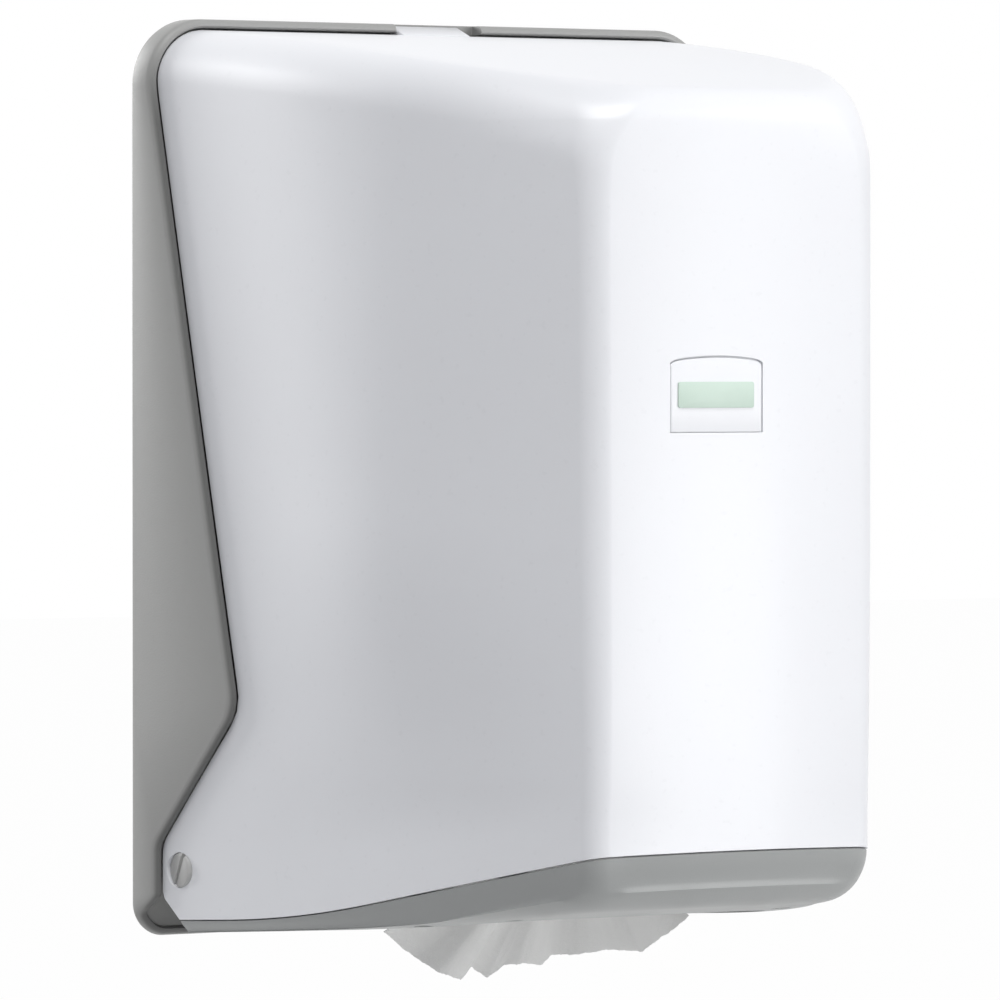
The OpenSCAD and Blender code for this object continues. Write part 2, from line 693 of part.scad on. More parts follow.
// Base tray: a dish whose rim follows the cover's lower edge, with posts and the open outlet
function tray_row(inset, rear, height_at) =
    let (plan = section(tray_rear_d + rear, cover_d - inset, inset, 0, 0))
    [for (p = plan) at(p.x, p.y, height_at(p.y))];
function tray_top_at(d) = cover_edge_h(d) - tray_seam;
function band_height(d) = min(tray_band_h, 0.9 * (tray_top_at(d) - tray_low(d)));
function tray_waist_at(d) = tray_top_at(d) - band_height(d);
function tray_part_at(d, share) = tray_waist_at(d) * share + tray_low(d) * (1 - share);
function tray_floor_at(d) = tray_low(d) + tray_floor_t;
function tray_inner_at(d) = max(tray_waist_at(d), tray_floor_at(d) + 0.4);
tray_lip = 0.3;
tray_bead = 0.25;
tray_round = 13.6;
module base_tray() color(tray_grey) {
    difference() {
        union() {
            ring_solid([
                tray_row(tray_band_lean + tray_round, 2, function (d) tray_low(d)),
                tray_row(tray_band_lean + tray_round * 0.6, 1, function (d) tray_part_at(d, 0.12)),
                tray_row(tray_band_lean + tray_round * 0.25, 0.5, function (d) tray_part_at(d, 0.45)),
                tray_row(tray_band_lean - tray_bead, 0.3, function (d) tray_part_at(d, 0.8)),
                tray_row(tray_band_lean, 0.2, function (d) tray_waist_at(d)),
                tray_row(tray_lip, 0, function (d) tray_top_at(d)),
                tray_row(tray_lip + tray_wall, tray_wall, function (d) tray_top_at(d)),
                tray_row(tray_band_lean + tray_wall, tray_wall + 0.3, function (d) tray_inner_at(d)),
                tray_row(
                    tray_band_lean + tray_round * 0.6 + tray_wall, tray_wall + 2,
                    function (d) tray_floor_at(d))]);
            both_sides() tray_posts(shelf_spots, shelf_low - shelf_boss_h);
            both_sides() tray_posts(tray_spots, cover_boss_low);
        }
        outlet_cut();
        both_sides() post_bores(shelf_spots, shelf_low - shelf_boss_h);
        both_sides() post_bores(tray_spots, cover_boss_low);
    }
}
module tray_posts(spots, top) {
    for (spot = spots)
        place(spot.x, spot.y, tray_low(spot.y) + tray_floor_t / 2)
            cylinder(h = top - tray_low(spot.y) - tray_floor_t / 2, d = post_d);
}
post_web = 3;
module post_bores(spots, top) {
    for (spot = spots) {
        place(spot.x, spot.y, -cut_over)
            cylinder(h = top + 2 * cut_over, d = screw_d + 2 * screw_hole_clearance);
        place(spot.x, spot.y, -cut_over)
            cylinder(h = top + cut_over - post_web, d = screw_head_d + 1);
    }
}
module outlet_cut() {
    w = outlet_w / 2;
    corners = [[w, outlet_rear_d], [w, outlet_front_d], [-w, outlet_front_d], [-w, outlet_rear_d]];
    path = flat_list([for (i = [0 : 3])
        rounded(corners[(i + 3) % 4], corners[i], corners[(i + 1) % 4], outlet_r, arc_steps)]);
    place(0, 0, -cut_over)
        linear_extrude(height = cover_front_low_h) polygon([for (p = path) [p.x, -p.y]]);
}

// Hinge pins: slotted head in the cover, journal in the casing's ear, groove for the clip
module hinge_pin() {
    difference() {
        at_pivot() {
            along_x(pin_seat_x, pin_head_x, pin_head_d);
            along_x(pin_boss_x, pin_seat_x, pin_shank_d);
            along_x(ear_end_x - clip_gap, pin_boss_x, pin_journal_d);
            along_x(
                ear_end_x - clip_gap - clip_t, ear_end_x - clip_gap,
                pin_journal_d - 2 * pin_groove_depth);
            along_x(pin_end_x, ear_end_x - clip_gap - clip_t, pin_journal_d);
        }
        at_pivot() translate([pin_head_x, 0, 0]) rotate([pin_slot_turn, 0, 0])
            cube([2 * pin_slot_depth, pin_slot_w, pin_head_d + cut_over], center = true);
    }
}
pin_slot_turn = 25;
pin_slot_depth = 1.2;
module hinge_pin_right() color(casing_grey) hinge_pin();
module hinge_pin_left() color(casing_grey) mirror([1, 0, 0]) hinge_pin();
module pin_clips() color(steel_grey) both_sides() at_pivot() difference() {
    along_x(ear_end_x - clip_gap - clip_t + seat_gap, ear_end_x - clip_gap - seat_gap, clip_d);
    along_x(pin_end_x, ear_x, pin_journal_d - 2 * pin_groove_depth + 2 * pin_clearance);
    translate([
        ear_end_x - clip_gap - clip_t - cut_over, 0,
        -(pin_journal_d / 2 - pin_groove_depth + pin_clearance)])
        cube([clip_t + 2 * cut_over, clip_d, pin_journal_d - 2 * pin_groove_depth + 2 * pin_clearance]);
}

// Latch: a sprung slider with a hook for the catch and a pad under the key slot
module latch_slider() color(guide_grey) {
    place(0, latch_axis_d, latch_stem_low)
        cylinder(h = latch_bridge_low - latch_stem_low, d = stem_d);
    place(-hook_w / 2, latch_axis_d + stem_d / 2, latch_bridge_low)
        cube([key_left + key_slot_w - (key_slot_w - key_pad_w) / 2 + hook_w / 2, stem_d, latch_bridge_t]);
    place(-hook_w / 2, hook_tip_d + hook_t, latch_bridge_low)
        cube([hook_w, hook_tip_d + hook_t - latch_axis_d, latch_bridge_t]);
    place(-hook_w / 2, hook_tip_d + hook_t, latch_bridge_low)
        cube([hook_w, hook_t, latch_bridge_t + hook_rise]);
    place(key_left + (key_slot_w - key_pad_w) / 2, latch_axis_d, latch_bridge_low)
        cube([key_pad_w, stem_d / 2, key_pad_h - latch_bridge_low]);
}
spring_sides = 6;
spring_rings = 10;
spring_r = stem_d / 2 - spring_wire / 2 - 0.3;
spring_rise = spring_free - spring_wire - 2 * seat_gap;
function spring_point(k) =
    let (a = 360 * k / spring_rings)
    [
        spring_r * cos(a), spring_r * sin(a),
        spring_wire / 2 + seat_gap + spring_rise * k / (spring_rings * spring_turns)];
module latch_spring() color(steel_grey) place(0, latch_axis_d, latch_floor_h + guide_floor_t) {
    count = spring_rings * spring_turns;
    rings = [for (k = [0 : count])
        let (
            a = 360 * k / spring_rings,
            out = [cos(a), sin(a), 0],
            p = spring_point(k)
        )
        [for (i = [0 : spring_sides - 1])
            let (b = -360 * i / spring_sides)
            p + spring_wire / 2 * (out * cos(b) + [0, 0, sin(b)])]];
    ring_solid(rings);
}
module latch_guide() color(guide_grey) difference() {
    union() {
        place(-guide_w / 2, guide_front_d, latch_floor_h)
            cube([guide_w, guide_front_d - plate_t - seat_gap, latch_guide_top - latch_floor_h]);
        place(-guide_w / 2 - guide_ear_w, guide_seat_d() + guide_ear_t, guide_screw_h - guide_ear_w / 2)
            cube([guide_w + 2 * guide_ear_w, guide_ear_t, guide_ear_w]);
        place(-guide_w / 2, plate_t + seat_gap + guide_back_t, latch_floor_h)
            cube([guide_w, guide_back_t, latch_bridge_top - latch_floor_h]);
    }
    place(0, latch_axis_d, latch_floor_h + guide_floor_t)
        cylinder(h = latch_guide_top, d = stem_d + 2 * latch_clearance);
    guide_posts(screw_d + 2 * screw_hole_clearance, plate_t, guide_front_d + cut_over);
}
module screw(length) {
    cylinder(h = length, d = screw_d);
    translate([0, 0, length]) difference() {
        cylinder(h = screw_head_t, d = screw_head_d);
        translate([0, 0, screw_head_t])
            cube([1, screw_head_d + cut_over, screw_head_t], center = true);
        translate([0, 0, screw_head_t])
            cube([screw_head_d + cut_over, 1, screw_head_t], center = true);
    }
}
module latch_screws() color(steel_grey) for (x = [-1, 1])
    place(x * guide_screw_x, plate_t + seat_gap, guide_screw_h)
        forward() screw(guide_seat_d() + guide_ear_t - plate_t - seat_gap);

// Catch on the cover, behind which the latch hooks
module cover_catch() color(steel_grey) difference() {
    union() {
        place(-catch_w / 2, catch_rear_d + catch_d, catch_h)
            cube([catch_w, catch_d, catch_t]);
        place(-hook_w / 2, catch_rear_d + catch_rib_t, latch_bridge_top + catch_rib_gap)
            cube([hook_w, catch_rib_t, catch_h - latch_bridge_top - catch_rib_gap + catch_t / 2]);
    }
    for (x = [-1, 1])
        place(x * catch_screw_x, catch_screw_d, catch_h - cut_over)
            cylinder(h = catch_t + 2 * cut_over, d = screw_d + 2 * screw_hole_clearance);
}
module catch_screws() color(steel_grey) for (x = [-1, 1])
    place(x * catch_screw_x, catch_screw_d, catch_h + catch_t + catch_post_h() - 1.4)
        mirror([0, 0, 1]) screw(catch_t + catch_post_h() - 1.4);

// Shelf that carries the roll and the nozzle
module roll_shelf() color(tray_grey) difference() {
    union() {
        shelf_plate();
        both_sides() for (spot = shelf_spots)
            place(spot.x, spot.y, shelf_low - shelf_boss_h)
                cylinder(h = shelf_boss_h + shelf_t / 2, d = screw_boss_d);
    }
    place(0, roll_axis_d, shelf_low - cut_over)
        cylinder(h = shelf_t + 2 * cut_over, d = nozzle_barrel_d + 2 * seat_gap);
    both_sides() for (spot = shelf_spots)
        place(spot.x, spot.y, shelf_low - shelf_boss_h - cut_over)
            cylinder(h = shelf_boss_h + cut_over + shelf_t / 2, d = screw_d + 2 * screw_hole_clearance);
}
module shelf_plate() {
    inset = cover_wall * wall_lean + shelf_gap;
    plan = section(shelf_rear_d, cover_d - inset, inset, shelf_h, 0);
    place(0, 0, shelf_low)
        linear_extrude(height = shelf_t) polygon([for (p = plan) [p.x, -p.y]]);
}
module upward_screws(spots, head_seat, length) {
    for (spot = spots)
        place(spot.x, spot.y, head_seat + length)
            mirror([0, 0, 1]) screw(length);
}
module shelf_screws() color(steel_grey) both_sides()
    upward_screws(shelf_spots, shelf_low - shelf_boss_h - post_web, post_web + shelf_boss_h);
module tray_screws() color(steel_grey) both_sides()
    upward_screws(tray_spots, cover_boss_low - post_web, post_web + cover_boss_h - 2.2);

// Nozzle: a funnel with tearing slots, held under the shelf by its nut
nozzle_flange_t = 2;
nozzle_wall = 2;
funnel_top_d = nozzle_barrel_d - 2 * nozzle_wall;
barrel_low = shelf_low - nut_h - 1;
tear_slot_w = 2;
tear_slot_h = 5;
module paper_nozzle() color(cover_white) difference() {
    place(0, roll_axis_d, 0) rotate_extrude() polygon([
        [funnel_top_d / 2, shelf_h + nozzle_flange_t],
        [nozzle_flange_d / 2, shelf_h + nozzle_flange_t],
        [nozzle_flange_d / 2, shelf_h],
        [nozzle_barrel_d / 2, shelf_h],
        [nozzle_barrel_d / 2, barrel_low],
        [nozzle_barrel_d / 2 - nozzle_wall, barrel_low],
        [nozzle_mouth_d / 2 + nozzle_wall, nozzle_mouth_h],
        [nozzle_mouth_d / 2, nozzle_mouth_h]]);
    for (i = [0 : tear_slots - 1])
        place(0, roll_axis_d, nozzle_mouth_h) rotate([0, 0, 360 * i / tear_slots])
            translate([0, -tear_slot_w / 2, -cut_over])
                cube([nozzle_mouth_d / 2 + nozzle_wall + 2, tear_slot_w, tear_slot_h + cut_over]);
}
nut_grips = 8;
nut_grip_d = 6;
module nozzle_nut() color(tray_grey) place(0, roll_axis_d, shelf_low - nut_h) difference() {
    cylinder(h = nut_h, d = nozzle_flange_d);
    translate([0, 0, -cut_over])
        cylinder(h = nut_h + 2 * cut_over, d = nozzle_barrel_d + 2 * screw_hole_clearance);
    for (i = [0 : nut_grips - 1])
        rotate([0, 0, 360 * (i + 0.5) / nut_grips])
            translate([nozzle_flange_d / 2 + 1, 0, -cut_over])
                cylinder(h = nut_h + 2 * cut_over, d = nut_grip_d);
}

// Paper roll, standing on the shelf round the nozzle's flange
roll_edge = 1.5;
module paper_roll() color(paper_white) place(0, roll_axis_d, shelf_h) rotate_extrude() polygon([
    [roll_bore_d / 2, 0],
    [roll_d / 2 - roll_edge, 0],
    [roll_d / 2, roll_edge],
    [roll_d / 2, roll_h - roll_edge],
    [roll_d / 2 - roll_edge, roll_h],
    [roll_bore_d / 2, roll_h]]);

// Paper tail: gathered in the nozzle, fanned out below the outlet, torn off in waves
tail_cols = 40;
tail_rows = 12;
tail_gather_gap = 0.25;
tail_gather_w = nozzle_mouth_d - 2 * tail_gather_gap;
tail_top_h = nozzle_mouth_h + 6;
tail_turn = 14;
tail_back = 14;
tail_edge = [[0, 3], [0.05, -1.6], [0.17, -12], [0.25, -15.3], [0.29, -10.6], [0.34, -14.9], [0.39, -10.4],
    [0.44, -9.5], [0.52, -10.7], [0.55, -6.9], [0.61, -7.3], [0.73, -5.5], [0.85, -6.9], [0.9, -2.5],
    [1, 6]];
tail_fan_power = 0.9;
tail_gather_h = nozzle_mouth_h - 1;
function tail_point(u, v, shift) =
    let (
        low = lookup(u, tail_edge),
        h = tail_top_h + (low - tail_top_h) * v,
        fan = pow(max(0, (tail_gather_h - h) / (tail_gather_h - low)), tail_fan_power),
        spread = -tail_left + (tail_left + tail_right) * u,
        gathered = (u - 0.5) * tail_gather_w,
        run = gathered * (1 - fan) + spread * fan,
        fold = shift + tail_fold_depth * (0.55 + 0.45 * fan) * sin(360 * tail_folds * u),
        d = roll_axis_d - tail_back * fan
    )
    [run * cos(tail_turn) + fold * sin(tail_turn), d + run * sin(tail_turn) * fan - fold * cos(tail_turn), h];
function tail_sheet(shift) = [for (j = [0 : tail_rows]) [for (i = [0 : tail_cols])
    let (p = tail_point(i / tail_cols, j / tail_rows, shift))
    at(p.x, p.y, p.z)]];
module paper_tail() color(paper_white) sheet_solid(tail_sheet(tail_t / 2), tail_sheet(-tail_t / 2));

// Badge: a plain holder let into the front, with a bare label plate
module badge_holder() color(cover_white) badge_frame() translate([0, badge_sink + badge_t, 0]) forward()
    linear_extrude(height = badge_t) badge_shape(0);
module badge_label() color(label_mint) badge_frame()
    translate([-badge_w / 2 + label_w / 2 + label_edge, badge_sink, 0])
        forward() linear_extrude(height = label_t) square([label_w, label_h], center = true);

rear_casing();
front_cover();
base_tray();
hinge_pin_left();
hinge_pin_right();
pin_clips();
latch_slider();
latch_spring();
latch_guide();
latch_screws();
cover_catch();
catch_screws();
roll_shelf();
shelf_screws();
tray_screws();
paper_nozzle();
nozzle_nut();
paper_roll();
paper_tail();
badge_holder();
badge_label();
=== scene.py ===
"""Looks of a wall dispenser for a centre-pull paper roll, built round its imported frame."""
import math
import bpy
import numpy as np
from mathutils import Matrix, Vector


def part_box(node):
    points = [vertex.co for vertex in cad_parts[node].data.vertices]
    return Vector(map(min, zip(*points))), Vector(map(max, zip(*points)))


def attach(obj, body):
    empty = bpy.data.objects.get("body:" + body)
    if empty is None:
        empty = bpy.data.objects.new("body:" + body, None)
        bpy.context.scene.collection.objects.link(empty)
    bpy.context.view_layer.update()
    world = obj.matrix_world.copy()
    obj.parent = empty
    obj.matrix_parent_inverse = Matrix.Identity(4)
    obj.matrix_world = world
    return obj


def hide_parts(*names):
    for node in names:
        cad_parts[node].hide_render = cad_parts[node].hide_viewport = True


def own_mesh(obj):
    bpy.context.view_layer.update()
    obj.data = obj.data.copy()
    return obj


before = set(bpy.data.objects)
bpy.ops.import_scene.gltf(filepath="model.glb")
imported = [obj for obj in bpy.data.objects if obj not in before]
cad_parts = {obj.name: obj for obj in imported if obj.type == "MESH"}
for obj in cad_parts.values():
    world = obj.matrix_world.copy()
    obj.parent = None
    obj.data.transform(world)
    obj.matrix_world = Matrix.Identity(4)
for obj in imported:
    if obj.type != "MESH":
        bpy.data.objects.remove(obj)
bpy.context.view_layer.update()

# Sizes in millimetres: heights from the casing's foot, depths forward from the wall, widths from the middle
MM = 0.001

# Rear casing
CASING_W, CASING_H = 250.0, 330.0
MOUNT_H = 165.0  # height of the frame's origin
CASING_WALL, PLATE_T = 3.4, 2.6
CASING_TOP_R, CASING_FOOT_R = 24.0, 12.0
RIM_TOP_D = 7.2  # depth of the rim's line along the top
RIM_ROUND, RIM_ROUND_W = 2.6, 2.4  # the rounded lip ahead of that line, and its width
RIM_LAP = 1.6  # how far the hood's rear edge lies ahead of the rim's line
WALL_HOLE_X, WALL_HOLE_HEIGHTS, WALL_HOLE_R = 80, (65, 265), 2.75
GUIDE_POST_X, GUIDE_POST_H, GUIDE_POST_R = 20, 294, 4.5
EAR_INNER_X, EAR_X, EAR_OUTER_X, EAR_R, EAR_BORE_R = 105.77, 108.27, 110.77, 7, 3.05
NOTCH_LOW, NOTCH_HIGH = (-17.25, 12, 325), (20.25, 3.6, 333)  # opposite corners of the notch in the top edge
PILOT_R = 1.55  # bore that a screw cuts its thread in

# Hood
COVER_D, COVER_FRONT_W, COVER_INSET, COVER_GAP, COVER_WALL = 203.0, 118.4, 4.0, 0.6, 2.6
SIDE_SWELL, FRONT_CROWN = 5.0, 5.0
SHOULDER_H, SHOULDER_R = 301.0, 13.0  # where the front turns into the top
SIDE_LINE_R = 50.0  # the round that the front ridge follows into the shoulder
FRONT_CORNER_R = 6.0
CORNER_RUNS = (14.0, 12.0)  # reach of the corner's round at the shoulder, along the side and across the front
CORNER_TOP_RUN = 4.0  # its reach on the top
CORNER_PULL = 0.8  # how closely the round keeps to the corner
TOP_SWELL = 3.0
TOP_EDGE_R, REAR_CORNER_R = 30.0, 19.0  # round under the top's side edge, at the front and at the rear
EDGE_FROM, EDGE_TO = 140.0, 210.0  # depths between which that round grows
BULGE, BULGE_RUN = 13.0, 80.0  # how far the side stands out, and its run to the front corner
BULGE_FROM_H, BULGE_FULL_H, BULGE_FULL_D = 30, 150, 128
COVER_LOW_H, COVER_REAR_D = 6.7, 19.5
HOOD_LEVEL = 60.0  # from here up the rows of the hood's skin are level
FOOT_ROWS, TOP_ROWS = 22, 24
SIDE_ROWS, SIDE_STEP = 32, 5.5
SHOULDER_ROWS, SHOULDER_STEP = 24, 2.2
PIN_BOSS_X, PIN_BOSS_R, PIN_BOSS_T = 112.2, 8.8, 2.2
PIN_SEAT_R, PIN_SEAT_T = 6.36, 5.4
PIN_BORE_X, PIN_BORE_R, PIN_BORE_T = 107, 4.04, 15
CATCH_X, CATCH_D = 13.0, 24.5
CATCH_POST_LOW_H, CATCH_POST_TOP_H = 320.1, 323.6
CATCH_PILOT_LOW_H, CATCH_PILOT_TOP_H = 318, 322.3
BOSS_R = 4  # of the posts for the catch and of the bosses that the tray is screwed to
BOSS_TOP_H, BOSS_PILOT_LOW_H, BOSS_PILOT_TOP_H, RIB_HALF_T = 38, 24, 36, 1.3
TONGUE_LEFT, TONGUE_RIGHT = -16.45, 13.05
TONGUE_FRONT_D, TONGUE_REAR_D, TONGUE_LOW_H, TONGUE_TOP_H = 13.5, 4.2, 323.4, 329.5
TONGUE_DROP = 3.6  # fall of the tongue's top towards the front

# Base tray
TRAY_REAR_D, TRAY_SEAM, TRAY_WALL = 19.6, 0.4, 2.4
TRAY_RIM, TRAY_LEAN, TRAY_ROUND = 0.3, 3.4, 13.6  # insets at the top, the crease, and on to the foot
TRAY_BEAD, TRAY_BAND_H = 0.25, 10.5
TRAY_FLOOR_T = 2.6
OPENING_D, OPENING_RUN, OPENING_R = 92, 92, 34  # middle, run and corner radius of the opening in the floor
OPENING_SIDE = 23.5  # from the hood's side to that opening
SHELF_SPOTS = [(57.53, 40.0), (57.53, 146.0)]
TRAY_SPOTS = [(86.14, 68.0), (78.27, 120.0)]
SHELF_POST_H, TRAY_POST_H = 40, 26
POST_R, WELL_R, POST_CAP = 5, 3.5, 3

# Hinge pins, latch spring, roll and tail
PIVOT_D, PIVOT_H = 19.5, 24.5
SPRING_WIRE, SPRING_TURNS, LATCH_STROKE = 0.69, 5, 4.0
AXIS_D, SHELF_H, ROLL_R, ROLL_H, ROLL_BORE_R = 94.0, 53.0, 86.0, 195.0, 33.0
TAIL_TOP_H, TAIL_FAN_H = 44, 37  # where the tail begins in the nozzle, and where it starts to fan out
TAIL_LEFT, TAIL_W, TAIL_GATHERED_W = -61, 117, 25.5
TAIL_T = 0.3

FRONT_CORNER_D = COVER_D - FRONT_CROWN
COVER_TOP_H = CASING_H - CASING_WALL - COVER_GAP
TOP_EDGE_D = RIM_TOP_D + RIM_LAP + COVER_GAP
CASING_FRONT_HALF = COVER_FRONT_W / 2 + COVER_INSET


def at(x, d, h):
    return (x * MM, -d * MM, (h - MOUNT_H) * MM)


# Modelling by hand: selection, edit mode and applied modifiers

def nothing_selected():
    if bpy.context.object and bpy.context.object.mode != "OBJECT":
        bpy.ops.object.mode_set(mode="OBJECT")
    bpy.ops.object.select_all(action="DESELECT")


def only(piece):
    nothing_selected()
    piece.select_set(True)
    bpy.context.view_layer.objects.active = piece


def added(name, primitive, **settings):
    nothing_selected()
    primitive(**settings)
    piece = bpy.context.object
    piece.name = piece.data.name = name
    only(piece)
    bpy.ops.object.transform_apply(location=True, rotation=True, scale=True)
    return piece


def finished(piece, kind, **settings):
    only(piece)
    step = piece.modifiers.new(kind.title(), kind)
    for key, value in settings.items():
        setattr(step, key, value)
    bpy.ops.object.modifier_apply(modifier=step.name)


def rounded_edges(piece, width, segments=3, angle=40):
    finished(piece, "BEVEL", width=width * MM, segments=segments, limit_method="ANGLE",
             angle_limit=math.radians(angle), harden_normals=False)


def cut(piece, tool, operation="DIFFERENCE"):
    finished(piece, "BOOLEAN", object=tool, operation=operation, solver="EXACT")
    bpy.data.objects.remove(tool)


def joined(piece, *others):
    nothing_selected()
    for other in others:
        other.select_set(True)
    piece.select_set(True)
    bpy.context.view_layer.objects.active = piece
    bpy.ops.object.join()
    return piece


def smooth(piece, angle=35):
    only(piece)
    bpy.ops.object.shade_smooth_by_angle(angle=math.radians(angle))


def editing(piece, mode, chosen=None):
    """Edit mode with the edges selected whose two ends pass a test, or with everything selected."""
    only(piece)
    mesh = piece.data
    for part in (mesh.vertices, mesh.edges, mesh.polygons):
        part.foreach_set("select", [False] * len(part))
    if chosen:
        for edge in mesh.edges:
            ends = [mesh.vertices[i].co for i in edge.vertices]
            edge.select = bool(chosen(*ends))
    bpy.ops.object.mode_set(mode="EDIT")
    bpy.ops.mesh.select_mode(type=mode)
    if not chosen:
        bpy.ops.mesh.select_all(action="SELECT")


def edited():
    bpy.ops.object.mode_set(mode="OBJECT")


def outward(piece):
    editing(piece, "FACE")
    bpy.ops.mesh.remove_doubles(threshold=1e-6)
    bpy.ops.mesh.normals_make_consistent(inside=False)
    edited()


def sheet_of(name, rows):
    """A grid of as many rows and columns as the points given, each corner then moved to its point."""
    points = np.array(rows, dtype=np.float32)
    tall, wide = points.shape[:2]
    piece = added(name, bpy.ops.mesh.primitive_grid_add,
                  x_subdivisions=wide - 1, y_subdivisions=tall - 1, size=1)
    piece.data.vertices.foreach_set("co", points.ravel())
    piece.data.update()
    return piece


def tube_of(name, rings, filled):
    """A grid rolled up into rings, its seam merged and its two ends filled flat where asked."""
    piece = sheet_of(name, [list(ring) + [ring[0]] for ring in rings])
    editing(piece, "FACE")
    bpy.ops.mesh.remove_doubles(threshold=1e-6)
    if filled:
        bpy.ops.mesh.select_all(action="SELECT")
        bpy.ops.mesh.fill_holes(sides=0)
    edited()
    outward(piece)
    return piece


ACROSS, DEEP, UP = (1, 0, 0), (0, 1, 0), (0, 0, 1)


def rod(name, middle, direction, radius, length, sides=64):
    turn = Vector(direction).to_track_quat("Z", "Y").to_euler()
    return added(name, bpy.ops.mesh.primitive_cylinder_add, vertices=sides, radius=radius * MM,
                 depth=length * MM, location=middle, rotation=turn)


def block(name, low, high):
    a, b = Vector(at(*low)), Vector(at(*high))
    size = b - a
    return added(name, bpy.ops.mesh.primitive_cube_add, size=1, location=(a + b) / 2,
                 scale=[abs(v) for v in size])


# The body's plan, rim and lower edge

def casing_half(d):
    share = d / FRONT_CORNER_D
    return CASING_W / 2 + (CASING_FRONT_HALF - CASING_W / 2) * share + 4 * SIDE_SWELL * share * (1 - share)


def cover_half(d):
    return casing_half(d) - COVER_INSET


def taper(d):
    return casing_half(d) / casing_half(0)


def fillet(a, b, c, radius, steps):
    """Points of the round that fits the corner b between a and c."""
    a, b, c = (np.array(p, float) for p in (a, b, c))
    u, v = (a - b) / np.linalg.norm(a - b), (c - b) / np.linalg.norm(c - b)
    half = math.acos(max(-1, min(1, float(u @ v)))) / 2
    run = radius / math.tan(half)
    first, last = b + run * u, b + run * v
    middle = b + (u + v) / np.linalg.norm(u + v) * radius / math.sin(half)
    out = []
    for i in range(steps + 1):
        p = first + (last - first) * i / steps - middle
        out.append(tuple(middle + radius * p / np.linalg.norm(p)))
    return out


def path_of(corners):
    """Straight runs between corners. All but the ends have a radius as their third number."""
    pts = [corners[0][:2]]
    for before, here, after in zip(corners, corners[1:], corners[2:]):
        pts += fillet(before[:2], here[:2], after[:2], here[2], 10)
    return pts + [corners[-1][:2]]


# The rim's depth by height, and the lower edges of the hood and of the tray by depth
RIM_FOOT_H = 15
RIM = path_of([(0, 1.4), (8, 1.4, 3), (RIM_FOOT_H, 9.6, 3), (33.5, 9.6, 10), (82.9, 47.5, 16),
               (CASING_H - CASING_TOP_R, RIM_TOP_D, 60), (CASING_H, RIM_TOP_D)])
COVER_EDGE = path_of([(COVER_REAR_D, COVER_LOW_H), (74, 9.3, 400), (COVER_D, 37)])
TRAY_EDGE = path_of([(COVER_REAR_D, 1.6), (113, 7.3, 900), (COVER_D, 18.2)])


def along(path, value):
    return float(np.interp(value, [p[0] for p in path], [p[1] for p in path]))


def rim_depth(h):
    return along(RIM, h)


def cover_edge_h(d):
    return along(COVER_EDGE, d)


def tray_low(d):
    return along(TRAY_EDGE, d)


COVER_REAR = [(COVER_LOW_H, COVER_REAR_D)] + [(h, d + RIM_LAP) for h, d in RIM if h >= RIM_FOOT_H]


def cover_rear(h):
    return along(COVER_REAR, h)


def corner_runs(h):
    """How far the front corner's rounding reaches back along the side and across the front."""
    rise = min(SIDE_LINE_R, max(0, h - (SHOULDER_H - SIDE_LINE_R)))
    share = 1 - math.sqrt(1 - (rise / SIDE_LINE_R) ** 2)
    past = min(1, max(0, (h - SHOULDER_H + 2) / 7))
    runs = [FRONT_CORNER_R + (reach - FRONT_CORNER_R) * share for reach in CORNER_RUNS]
    return [run * (1 - past) + CORNER_TOP_RUN * past for run in runs]


def top_line(d):
    """Height of the top at a depth: a straight slope with a slight swell."""
    share = (COVER_D - d) / (COVER_D - TOP_EDGE_D)
    return SHOULDER_H + (COVER_TOP_H - SHOULDER_H) * share + 4 * TOP_SWELL * share * (1 - share)


def eased(value, low, high):
    """0 at low, 1 at high, level at both ends."""
    share = min(1, max(0, (value - low) / (high - low)))
    return share * share * (3 - 2 * share)


def edge_round(d):
    """Radius under the top's side edge: even along the side, larger at the front corner."""
    return REAR_CORNER_R + (TOP_EDGE_R - REAR_CORNER_R) * eased(d, EDGE_FROM, EDGE_TO)


def top_cut(d, h, inset=0.0):
    """How far a side has turned in under the top: a quarter round along the edge."""
    r = edge_round(d) - inset
    under = min(r, max(0, top_line(d) - inset - h))
    return r - math.sqrt(r * r - (r - under) ** 2)


def bulge(d, h):
    """How far the side stands out from its straight line: nothing at the foot, the corner and the rear."""
    ahead = min(1, max(0, (FRONT_CORNER_D - d) / BULGE_RUN))
    rise, start = eased(h, BULGE_FROM_H, BULGE_FULL_H), cover_rear(h) + 2
    return BULGE * rise * eased(d, start, BULGE_FULL_D) * math.sin(math.pi / 2 * ahead)


def section(rear, front, h, runs, inset=0.0, steps=(44, 24, 22)):
    """A level cut through the hood, from its left rear edge round the front to its right one.

    steps counts the points along the side, round the corner and from there to the middle of the front."""
    side, turn, face = steps
    most = 0.8
    crown = FRONT_CROWN * (front - rear) / COVER_D
    corner_d = front - crown
    half = lambda d: cover_half(d) - inset - top_cut(d, h, inset) + bulge(d, h)
    corner_x = half(corner_d)
    side_end = corner_d - min(runs[0], most * (corner_d - rear))
    front_x = corner_x - min(runs[1], most * corner_x)
    a = np.array((half(side_end), side_end))
    b = np.array((corner_x, corner_d))
    c = np.array((front_x, front - crown * (front_x / corner_x) ** 2))
    right = []
    for i in range(side):
        d = rear + (side_end - rear) * math.sin(math.pi / 2 * i / side)
        right.append((half(d), d))
    for i in range(turn + 1):
        t = i / turn
        pull = 2 * CORNER_PULL * t * (1 - t)
        right.append(tuple((a * (1 - t) ** 2 + b * pull + c * t * t) / ((1 - t) ** 2 + pull + t * t)))
    for i in range(1, face + 1):
        x = front_x * (1 - i / face)
        right.append((x, front - crown * (x / corner_x) ** 2))
    return [(-x, d) for x, d in right] + right[-2::-1]


